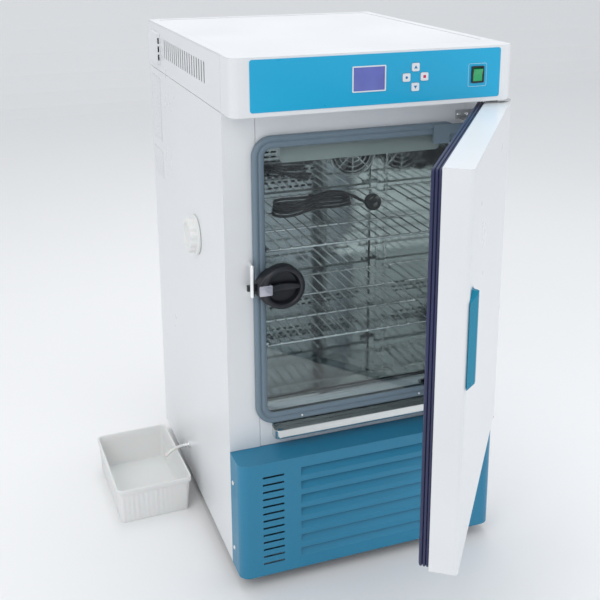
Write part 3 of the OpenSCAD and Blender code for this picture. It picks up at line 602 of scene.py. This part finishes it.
def cord_curve(name, points, diameter, slot, body, replaces):
    """A round cord as a curve of one open smooth spline through the points."""
    data = bpy.data.curves.new(name, "CURVE")
    data.dimensions = "3D"
    data.bevel_depth = diameter / 2
    data.bevel_resolution = 4
    data.use_fill_caps = True
    spline = data.splines.new("POLY")
    spline.points.add(len(points) - 1)
    spline.points.foreach_set("co", np.c_[points, np.ones(len(points))].ravel())
    spline.use_smooth = True
    data.materials.append(finish_for(slot))
    return carried(name, data, body, replaces)


class INCUBATOR_OT_power_cord(bpy.types.Operator):
    """Lay the power cord in its hank on the upper shelf, with its plug, connector and tie"""
    bl_idname = "incubator.power_cord"
    bl_label = "Power Cord"

    def execute(self, context):
        sizes = context.scene.incubator_sizes
        line = on_shelf(smooth_line(hank_line(), 900))
        cord = cord_curve("power_cord", line, sizes.cord_d, "cord_black", "top_shelf", ["cord_hank"])
        black = finish_for("cord_black")
        plug = self.plug(line, black)
        connector = self.connector(line, black)
        self.tie(black)
        return {"FINISHED"}

    def plug(self, line, black):
        """A round plug: a turned body whose face looks forwards and up, three flat blades in that face,
        and a ribbed relief that meets the cord."""
        axis = np.array([0, -sin(radians(60)), cos(radians(60))])
        centre = np.array([PLUG[0], PLUG[1], SHELF_TOP + 0.022])
        outline = MM * np.array([[2, -8], [15, -8], [18.6, -6], [19.8, -3], [19.8, 4], [18.8, 6.4], [17, 7],
                                 [2, 7]])
        body = turned_along(outline, centre, axis, 48)
        across = np.cross(axis, [1.0, 0, 0])
        parts = [body]
        for a, turn in ((90, 90), (215, 145), (325, 35)):
            place = centre + 0.0065 * axis + 0.0095 * (cos(radians(a)) * np.array([1.0, 0, 0])
                                                       - sin(radians(a)) * across)
            wide = cos(radians(turn)) * np.array([1.0, 0, 0]) - sin(radians(turn)) * across
            thin = np.cross(axis, wide)
            square = np.array([[-1, -1], [1, -1], [1, 1], [-1, 1]])
            flat = 0.0032 * square[:, :1] * wide + 0.0009 * square[:, 1:] * thin
            blade = shell(np.array([place + flat, place + flat + 0.016 * axis,
                                    place + 0.7 * flat + 0.0175 * axis]))
            piece(f"plug_blade_{a}", blade, "top_shelf",
                  finish("plug_blade", (0.85, 0.84, 0.80), 0.3, metallic=0.5, bump=0.01, tone=0.05))
        towards = line[-1] - centre
        reach = np.linalg.norm(towards)
        steps = np.linspace(0, 1, 15)
        ribs = 0.0052 - 0.0015 * steps + 0.0007 * (np.arange(15) % 2)
        relief = turned_along(np.c_[ribs, 0.012 + steps * (reach - 0.012)], centre, towards, 20)
        parts.append(relief)
        return piece("mains_plug", join(parts), "top_shelf", black, ["cord_plug"])

    def connector(self, line, black):
        """The appliance connector: a rounded block, tapered towards the cord, with a ribbed relief."""
        away = line[0] - line[6]
        away[2] = 0
        away /= np.linalg.norm(away)
        side = np.cross(away, [0, 0, 1.0])
        outline, _ = round_loop(1.0, 1.0, 0.2, 5)
        rings = []
        for along, w, h in ((0.010, 11, 11), (0.014, 15, 13), (0.030, 23, 16), (0.036, 26.5, 18),
                            (0.058, 27, 18), (0.0595, 25.5, 16.5)):
            flat = outline * np.array([w, h]) * MM
            middle = line[0] + away * along + np.array([0, 0, SHELF_TOP + 0.0105 - line[0][2]])
            rings.append(middle + flat[:, :1] * side + flat[:, 1:] * np.array([0, 0, 1.0]))
        steps = np.linspace(0, 1, 11)
        relief = turned_along(np.c_[0.0042 + 0.0014 * steps + 0.0006 * (np.arange(11) % 2), steps * 0.0135],
                              line[0], away, 20)
        return piece("appliance_connector", join([shell(np.array(rings)), relief]), "top_shelf",
                     black, ["cord_connector"])

    def tie(self, black):
        """A soft band round the waist: a flat profile carried round an upright oval."""
        a = np.linspace(0, 2 * pi, 40, endpoint=False)
        oval = np.stack([0.0145 * np.sign(np.cos(a)) * np.abs(np.cos(a)) ** 0.7,
                         0.0208 + 0.0188 * np.sign(np.sin(a)) * np.abs(np.sin(a)) ** 0.7], axis=1)
        rings = []
        for x, grow in ((-3, 0.98), (-2.6, 1.03), (0, 1.045), (2.6, 1.03), (3, 0.98)):
            y = oval[:, 0] * grow
            z = 0.0208 + (oval[:, 1] - 0.0208) * grow
            rings.append(np.stack([np.full(len(a), x * MM), y, z], axis=1))
        band, faces = shell(np.array(rings))
        piece("cord_tie", (on_shelf(band), faces), "top_shelf", black)


class INCUBATOR_OT_drain_hose(bpy.types.Operator):
    """Hang the short drain hose from its stub into the tray"""
    bl_idname = "incubator.drain_hose"
    bl_label = "Drain Hose"

    def execute(self, context):
        sizes = context.scene.incubator_sizes
        route = MM * np.array([[-318, 45, 108], [-325, 44.5, 108], [-332, 43.5, 107.3], [-339, 42, 106],
                               [-346, 40, 104.2], [-353, 37.5, 101.8], [-360, 34.5, 99], [-367, 31, 96]])
        line = smooth_line(route, 60)
        hose = cord_curve("drain_tube", line, sizes.hose_d, "silicone", "cabinet", ["drain_hose"])
        return {"FINISHED"}


# ---- Seals ----
class INCUBATOR_OT_seals(bpy.types.Operator):
    """Carry the soft profiles round the glass and round the outer door"""
    bl_idname = "incubator.seals"
    bl_label = "Seals"

    def execute(self, context):
        self.glass_seal(context.scene.incubator_sizes)
        self.door_seal(context.scene.incubator_sizes)
        return {"FINISHED"}

    def glass_seal(self, sizes):
        """A soft channel: a round tube along its outer rim, then a low lip that lies on the glass."""
        low, high = corners("glass_seal")
        w, h = high[0] - low[0], high[2] - low[2]
        t = high[1] - low[1]
        band = sizes.glass_seal_w
        a = np.linspace(0, 0.8 * pi, 12)
        crown = np.stack([-0.0062 + 0.0062 * np.cos(a), t - 0.0062 + 0.0062 * np.sin(a)], axis=1)
        lip = np.array([[-0.52 * band, t - 0.0036], [-0.58 * band, t - 0.0024], [-0.68 * band, t - 0.002],
                        [-0.85 * band, t - 0.0033], [-band, t - 0.0055],
                        [-band + 0.0006, t - 0.0064], [-band + 0.0006, 0.003], [-band + 0.003, 0.0002]])
        profile = np.concatenate([[[0.0, 0.0015]], crown, lip, [[-0.0015, 0.0]]])
        centre = ((low[0] + high[0]) / 2, high[1], (low[2] + high[2]) / 2)
        piece("glass_gasket", frame_loop(w, h, 0.042, profile, centre, 14), "glass_door",
              finish_for("seal_blue"), ["glass_seal"])

    def door_seal(self, sizes):
        """A ribbed magnetic seal: three round ribs on its outer side, with deep grooves between them, and
        a soft crown where it meets the cabinet."""
        z0, z1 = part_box("door_seal")[0][2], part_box("door_seal")[1][2]
        t, band = sizes.seal_t, sizes.seal_w
        a = np.linspace(-pi / 2, pi / 2, 7)
        ribs = [np.stack([0.0016 * np.cos(a) - 0.0016, m * t + 0.13 * t * np.sin(a)], axis=1)
                for m in (0.15, 0.47, 0.80)]
        valleys = [np.array([[-0.0038, m * t]]) for m in (0.31, 0.635)]
        outside = np.concatenate([ribs[0], valleys[0], ribs[1], valleys[1], ribs[2]])
        inside = np.array([[-0.4 * band, t], [-0.85 * band, 0.97 * t], [-band, 0.85 * t], [-band, 0.0]])
        profile = np.concatenate([[[-0.001, 0.0]], outside, inside])
        profile[:, 1] *= -1
        y_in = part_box("latch_catch")[1][1] - 0.070 + sizes.door_t
        part = frame_loop(sizes.door_w - 0.006, z1 - z0, 0.006, profile, (0.0, y_in, (z0 + z1) / 2), 4)
        piece("door_gasket", (at_door(part[0]), part[1]), "outer_door",
              finish_for("seal_navy"), ["door_seal"])


# ---- Latch, cap and tray ----
class INCUBATOR_OT_latch(bpy.types.Operator):
    """Turn the latch knob's cup and add its grip, beak and tongue"""
    bl_idname = "incubator.latch"
    bl_label = "Latch"

    def execute(self, context):
        r = context.scene.incubator_sizes.knob_r
        low, high = corners("latch_knob")
        x0, z0 = high[0] - r, (low[2] + high[2]) / 2
        rim_drop = 0.0008
        back, depth = high[1], high[1] - low[1] - rim_drop
        centre = np.array([x0, back, z0])
        a = np.linspace(0, pi / 2, 6)
        shoulder = np.stack([r - 0.006 + 0.006 * np.cos(a), depth - 0.006 + 0.006 * np.sin(a)], axis=1)
        well = MM * np.array([[37.5, 31], [35.2, 29.4], [34.2, 26.5], [33.6, 18], [31.5, 14.2], [20, 13.4],
                              [4, 13.2]])
        well[:, 1] *= depth / (31.2 * MM)
        cup = np.concatenate([[[0.0066, 0.0], [r - 0.003, 0.0], [r - 0.0006, 0.002], [r, 0.006]],
                              shoulder, well])
        parts = [turned(cup, centre, 72), self.grip(centre, r), self.beak(centre, r)]
        tongue = np.array([[-70, 6], [-70, -6], [-53, -7], [-40, -7], [-40, 7], [-53, 7]]) * MM
        parts.append(plate(tongue + centre[[0, 2]], back - 0.0072, back, 0.001))
        piece("latch_handle", join(parts), "latch", finish_for("black_plastic"),
              ["latch_knob"])
        line, _ = round_loop(0.027, 0.022, 0.002, 4)
        badge = plate(line + centre[[0, 2]] + [-0.0385, 0.0], low[1], low[1] + 0.009, 0.0007)
        piece("latch_badge", badge, "latch", finish_for("insert_silver"), ["latch_insert"])
        return {"FINISHED"}

    def grip(self, centre, r):
        """The wing across the cup: upright ovals whose height dips at the middle and whose ends narrow."""
        s = np.linspace(-1, 1, 25)
        a = np.linspace(0, 2 * pi, 20, endpoint=False)
        half = 0.0085 - 0.0035 * np.abs(s) ** 2.0
        top = 0.0282 - 0.0030 * np.cos(s * pi / 2) ** 2
        x = np.broadcast_to(s[:, None] * (r - 0.0125), (25, 20))
        z = half[:, None] * np.sign(np.cos(a)) * np.abs(np.cos(a)) ** 0.8
        y = 0.012 + (top[:, None] - 0.012) * (0.5 + 0.5 * np.sin(a)) ** 0.7
        return shell(centre + np.stack([x, -y, z], axis=-1))

    def beak(self, centre, r):
        """The nose beside the cup: from two points on the cup's rim its sides run to a blunt tip, and its
        inner end stops short of the cup's middle."""
        rim = r * np.array([[cos(radians(238)), sin(radians(238))], [cos(radians(122)), sin(radians(122))]])
        tip = MM * np.array([[-40, -29], [-50.5, -16], [-54, -12.5], [-54, 12.5], [-50.5, 16], [-40, 29]])
        shape = np.concatenate([rim[:1], tip, rim[1:], [[-0.86 * (r - 0.006), 0.0]]])
        return plate(shape + centre[[0, 2]], centre[1] - 0.0285, centre[1] - 0.0004, 0.005)


class INCUBATOR_OT_port_cap(bpy.types.Operator):
    """Turn the access port's cap with a scalloped grip"""
    bl_idname = "incubator.port_cap"
    bl_label = "Port Cap"

    def execute(self, context):
        low, high = corners("port_cap")
        y0, z0 = (low[1] + high[1]) / 2, (low[2] + high[2]) / 2
        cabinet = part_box("side_panel_left")[0][0]
        outline = MM * np.array([[24.85, -30], [24.85, 0.4], [43, 0.4], [45, 1.6], [45, 5.4], [43.4, 7],
                                 [39.6, 7.6], [39, 9.4], [38.6, 19.6], [36.8, 21.9], [34, 22.4], [30, 22.4],
                                 [28.4, 21.2], [27.6, 18.6], [16, 18.2], [2, 18.2]])
        grip = (np.arange(len(outline)) >= 7) & (np.arange(len(outline)) <= 10)

        def scallop(a, ring):
            dip = (0.5 + 0.5 * np.cos(12 * a)) ** 2
            return 1 - 0.085 * dip * grip[ring]

        cap = turned_along(outline, (cabinet, y0, z0), (-1.0, 0.0, 0.0), 144, scallop)
        piece("port_plug", cap, "cap", finish_for("white_plastic"), ["port_cap"])
        return {"FINISHED"}


class INCUBATOR_OT_drip_tray(bpy.types.Operator):
    """Mould the drip tray with leaning ribbed walls and a turned-over rim"""
    bl_idname = "incubator.drip_tray"
    bl_label = "Drip Tray"

    def execute(self, context):
        low, high = corners("drip_tray")
        centre, top = (low + high) / 2, high[2]
        w, l = 0.180, 0.278
        turn = radians(1.5)
        levels = ((0.0, 22, 0.0, 8), (0.0, 17, 0.0, 9), (2.0, 15, 0.3, 10), (8, 14, 1, 11), (68, 8, 1, 12),
                  (72, 7.6, 0.2, 12), (76, 7.4, 0, 12), (77, 2, 0, 12), (78, 0.4, 0, 12), (87, 0, 0, 12),
                  (89, 0.6, 0, 12), (90, 2, 0, 12), (89.6, 7, 0, 11), (88, 9.6, 0, 11), (70, 11.5, 0, 11),
                  (6, 20, 0, 9), (3.2, 23, 0, 8), (3, 26, 0, 7))
        rings = []
        for z, inset, rib, r in levels:
            line, out = round_loop(w - inset * MM, l - inset * MM, r * MM, 8, 72)
            run = np.cumsum(np.linalg.norm(np.diff(line, axis=0, append=line[:1]), axis=1))
            wave = np.clip(2.2 * np.cos(run * 2 * pi / 0.0115), -1, 1)
            line = line + out * (0.0007 * rib * wave)[:, None]
            rings.append(np.c_[line, np.full(len(line), z * MM * top / 0.090)])
        points, faces = shell(np.array(rings))
        c, s = cos(turn), sin(turn)
        x, y, z = points.T
        placed_points = np.stack([centre[0] + c * x - s * y, centre[1] + s * x + c * y, z], axis=1)
        piece("water_tray", (placed_points, faces), "tray", finish_for("white_plastic"),
              ["drip_tray"])
        return {"FINISHED"}


class INCUBATOR_OT_shelves(bpy.types.Operator):
    """Lay the wires of both shelves over their rails, with turned-down ends"""
    bl_idname = "incubator.shelves"
    bl_label = "Shelves"

    def execute(self, context):
        for name, body in (("shelf_upper", "top_shelf"), ("shelf_lower", "bottom_shelf")):
            self.shelf(name, body, context.scene.incubator_sizes)
        return {"FINISHED"}

    def shelf(self, name, body, sizes):
        """Wires over rails: each wire runs level on the rails and its front end turns down round a quarter
        circle."""
        low, high = corners(name)
        r, rail = sizes.wire_r, sizes.rail_r
        z_wire = high[2] - r
        z_rail = z_wire - r - rail + 0.0008
        rails = np.linspace(low[1] + 0.0055, high[1] - 0.0055, 4)
        bend = 0.0045
        a = np.linspace(pi / 2, pi, 6)
        nose = np.stack([low[1] + 0.0022 + bend + bend * np.cos(a), z_wire - bend + bend * np.sin(a)],
                        axis=1)[::-1]
        parts = []
        for x in np.linspace(low[0] + 0.006, high[0] - 0.006, 17):
            y = np.concatenate([nose[:, 0], np.linspace(low[1] + 0.02, high[1] - 0.0008, 12)])
            z = np.concatenate([nose[:, 1], np.full(12, z_wire)])
            parts.append(tube(np.stack([np.full(len(y), x), y, z], axis=1), r, 8))
        for y in rails:
            x = np.linspace(low[0] + 0.0005, high[0] - 0.0005, 10)
            parts.append(tube(np.stack([x, np.full(10, y), np.full(10, z_rail)], axis=1), rail, 12))
        piece(name + "_wires", join(parts), body, finish_for("chrome_wire"), [name])


# ---- Control panel and small trim ----
class INCUBATOR_OT_panel_marks(bpy.types.Operator):
    """Add the plain signs on the buttons and the frame round the switch"""
    bl_idname = "incubator.panel_marks"
    bl_label = "Panel Marks"

    def execute(self, context):
        blue = finish("sign_blue", (0.01, 0.20, 0.46), 0.4, grain=900.0, bump=0.02, tone=0.05)
        red = finish("sign_red", (0.62, 0.01, 0.09), 0.4, grain=900.0, bump=0.02, tone=0.05)
        a = np.linspace(0, 2 * pi, 24, endpoint=False)
        up = np.array([[-3.6, -2.6], [3.6, -2.6], [0, 3.6]]) * MM
        disc = np.stack([2.6 * np.cos(a), 2.6 * np.sin(a)], axis=1) * MM
        square, _ = round_loop(0.0056, 0.0056, 0.0008, 3)
        for key, shape, finish_made, slot in (("up", up, blue, "panel_blue"),
                                              ("down", up * [1, -1], blue, "panel_blue"),
                                              ("left", disc, blue, "panel_blue"),
                                              ("right", square, red, "panel_blue")):
            low, high = corners("button_" + key)
            middle = (low + high)[[0, 2]] / 2
            piece("sign_" + key, plate(shape + middle, low[1] - 0.0003, low[1] + 0.0002), "key_" + key,
                  finish_made)
        self.switch_frame()
        return {"FINISHED"}

    def switch_frame(self):
        """A thin pale line printed round the switch: a flat ring of constant width."""
        low, high = corners("switch_bezel")
        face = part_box("control_overlay")[0][1]
        pale = finish("print_pale", (0.50, 0.76, 0.86), 0.4, grain=900.0, bump=0.02, tone=0.03)
        profile = np.array([[0, 0.0], [0, 0.0002], [-0.0009, 0.0002], [-0.0009, 0.0]])
        centre = ((low[0] + high[0]) / 2, face + 0.00005, (low[2] + high[2]) / 2 - 0.001)
        piece("switch_outline", frame_loop(0.042, 0.047, 0.0035, profile, centre, 6), "cabinet",
              pale)


class INCUBATOR_OT_trim(bpy.types.Operator):
    """Add the blank rating plates, the hinge screws and the screws under the glass"""
    bl_idname = "incubator.trim"
    bl_label = "Trim"

    def execute(self, context):
        self.plates()
        self.screws()
        return {"FINISHED"}

    def plates(self):
        """Blank plates on the left side near the back: thin rounded sheets with a raised border."""
        low, high = corners("side_panel_left")
        pale = finish("plate_silver", (0.80, 0.81, 0.82), 0.32, metallic=0.25, lines=True, tone=0.05)
        for i, (z, h) in enumerate(((0.930, 0.160), (0.790, 0.070))):
            line, _ = round_loop(0.100, h, 0.003, 4)
            rings = []
            for x, inset in ((0.0, 0.0), (0.0008, 0.0), (0.0011, 0.0004), (0.0011, 0.0024),
                             (0.0007, 0.0028)):
                flat = line * (1 - 2 * inset / np.array([0.100, h]))
                rings.append(np.stack([np.full(len(flat), low[0] - x), high[1] - 0.062 + flat[:, 0],
                                       z + flat[:, 1]], axis=1))
            piece(f"blank_plate_{i}", shell(np.array(rings)), "cabinet", pale)

    def screws(self):
        """Pan heads: turned heads with a shallow dip in the top."""
        low, high = corners("glass_hinges")
        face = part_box("front_frame")[0][1]
        steel = finish_for("chrome_wire")
        head = MM * np.array([[2.4, 0.0], [4.0, 0.1], [3.9, 0.8], [3.0, 1.7], [1.6, 2.1], [1.3, 1.2],
                              [0.3, 1.1]])
        spots = [(x, face - 0.0021, z) for x in (0.214, 0.232, 0.250)
                 for z in (high[2] - 0.009, low[2] + 0.009)]
        parts = [turned(head, s, 20) for s in spots]
        piece("hinge_screws", join(parts), "cabinet", steel)
        seal_low, _ = corners("glass_seal")
        small = head * 0.7
        parts = [turned(small, (x, seal_low[1] + 0.0002, seal_low[2] + 0.009), 18) for x in (-0.142, 0.136)]
        piece("gasket_screws", join(parts), "glass_door", steel)


# ---- Finishes of what the frame carries ----
class INCUBATOR_OT_finishes(bpy.types.Operator):
    """Give every sheet, moulding and casting of the frame its finish"""
    bl_idname = "incubator.finishes"
    bl_label = "Finishes"

    def execute(self, context):
        slots = {s["node"]: s["material_slot"] for s in frame["record"]["subparts"]}
        for name, obj in frame["nodes"].items():
            material = latch_base_finish() if name == "latch_base" else finish_for(slots[name])
            obj.data.materials.clear()
            obj.data.materials.append(material)
        return {"FINISHED"}


# ---- Stage ----
def area_light(name, place, aim, size, power, tint=(1.0, 1.0, 1.0)):
    """A square soft light at a place, turned towards a point."""
    data = bpy.data.lights.new(name, "AREA")
    data.shape = "SQUARE"
    data.size = size
    data.energy = power
    data.color = tint
    light = bpy.data.objects.new(name, data)
    light.location = place
    d = np.asarray(aim, float) - np.asarray(place, float)
    light.rotation_euler = Euler((atan2(np.hypot(d[0], d[1]), -d[2]), 0.0, atan2(-d[0], d[1])))
    bpy.context.scene.collection.objects.link(light)


class INCUBATOR_OT_stage(bpy.types.Operator):
    """Set the pale floor, the soft studio light and the camera"""
    bl_idname = "incubator.stage"
    bl_label = "Stage"

    def execute(self, context):
        self.camera(context.scene)
        self.floor()
        self.lights(context.scene)
        return {"FINISHED"}

    def camera(self, scene):
        """A camera left of the front, a little above the cabinet, with its frame shifted down."""
        data = bpy.data.cameras.new("studio_camera")
        data.sensor_width = 36.0
        data.lens = 58.75
        data.shift_x, data.shift_y = -0.0333, -0.1917
        data.clip_end = 60.0
        camera = bpy.data.objects.new("studio_camera", data)
        camera.location = (-0.7777, -2.1345, 1.3951)
        yaw, pitch, roll = radians(20.782), radians(15.414), radians(0.044)
        turn = Euler((pi / 2 - pitch, 0.0, -yaw)).to_matrix() @ Euler((0.0, 0.0, roll)).to_matrix()
        camera.rotation_euler = turn.to_euler()
        scene.collection.objects.link(camera)
        scene.camera = camera

    def floor(self):
        """A wide pale floor that rises behind in a quarter circle to a wall."""
        a = np.linspace(0, pi / 2, 12)
        y = np.concatenate([[-9.0], 5.0 + 2.0 * np.sin(a), [7.0]])
        z = np.concatenate([[0.0], 2.0 - 2.0 * np.cos(a), [8.0]])
        x = np.array([-10.0, 10.0])
        points = np.stack([np.broadcast_to(x, (len(y), 2)), np.repeat(y[:, None], 2, axis=1),
                           np.repeat(z[:, None], 2, axis=1)], axis=-1).reshape(-1, 3)
        mesh = bpy.data.meshes.new("studio_floor")
        mesh.from_pydata(points.tolist(), [], grid_faces(len(y), 2, wrap_cols=False))
        mesh.materials.append(finish("floor_paper", (0.90, 0.90, 0.90), 0.8, grain=60.0, bump=0.0,
                                     tone=0.004, drift=0.5))
        floor = bpy.data.objects.new("studio_floor", mesh)
        bpy.context.scene.collection.objects.link(floor)

    def lights(self, scene):
        """A bright even sky with a large soft key from the left and a weaker fill from the right."""
        world = bpy.data.worlds.new("studio_sky")
        world.use_nodes = True
        sky = world.node_tree.nodes["Background"]
        sky.inputs["Color"].default_value = (0.93, 0.96, 1.0, 1.0)
        sky.inputs["Strength"].default_value = 0.76
        scene.world = world
        aim = (0.0, -0.2, 0.6)
        area_light("key_light", (-2.6, -2.4, 3.2), aim, 2.4, 38.0, (1.0, 0.98, 0.95))
        area_light("fill_light", (2.8, -2.2, 1.8), aim, 2.0, 18.0, (0.93, 0.96, 1.0))
        area_light("top_light", (0.2, 0.6, 3.6), (0.0, 0.0, 1.1), 2.2, 34.0)
        scene.view_settings.view_transform = "Standard"


# ---- Add-on ----
STEPS = (INCUBATOR_OT_stage, INCUBATOR_OT_power_cord, INCUBATOR_OT_drain_hose, INCUBATOR_OT_finishes,
         INCUBATOR_OT_seals, INCUBATOR_OT_latch, INCUBATOR_OT_port_cap, INCUBATOR_OT_drip_tray,
         INCUBATOR_OT_shelves, INCUBATOR_OT_panel_marks, INCUBATOR_OT_trim)


class INCUBATOR_PT_panel(bpy.types.Panel):
    """The incubator's build steps and settings"""
    bl_label = "Incubator"
    bl_idname = "INCUBATOR_PT_panel"
    bl_space_type = "VIEW_3D"
    bl_region_type = "UI"
    bl_category = "Incubator"

    def draw(self, context):
        for step in STEPS:
            self.layout.operator(step.bl_idname)
        for group in (context.scene.incubator_sizes, context.scene.incubator_colours):
            for name in group.__annotations__:
                self.layout.prop(group, name)


CLASSES = (IncubatorSizes, IncubatorColours, *STEPS, INCUBATOR_PT_panel)


def register():
    for cls in CLASSES:
        bpy.utils.register_class(cls)
    bpy.types.Scene.incubator_sizes = PointerProperty(type=IncubatorSizes)
    bpy.types.Scene.incubator_colours = PointerProperty(type=IncubatorColours)


def unregister():
    del bpy.types.Scene.incubator_colours
    del bpy.types.Scene.incubator_sizes
    for cls in reversed(CLASSES):
        bpy.utils.unregister_class(cls)


def main():
    """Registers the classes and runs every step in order."""
    register()
    for step in STEPS:
        group, name = step.bl_idname.split(".")
        getattr(getattr(bpy.ops, group), name)()


if __name__ == "__main__":
    main()
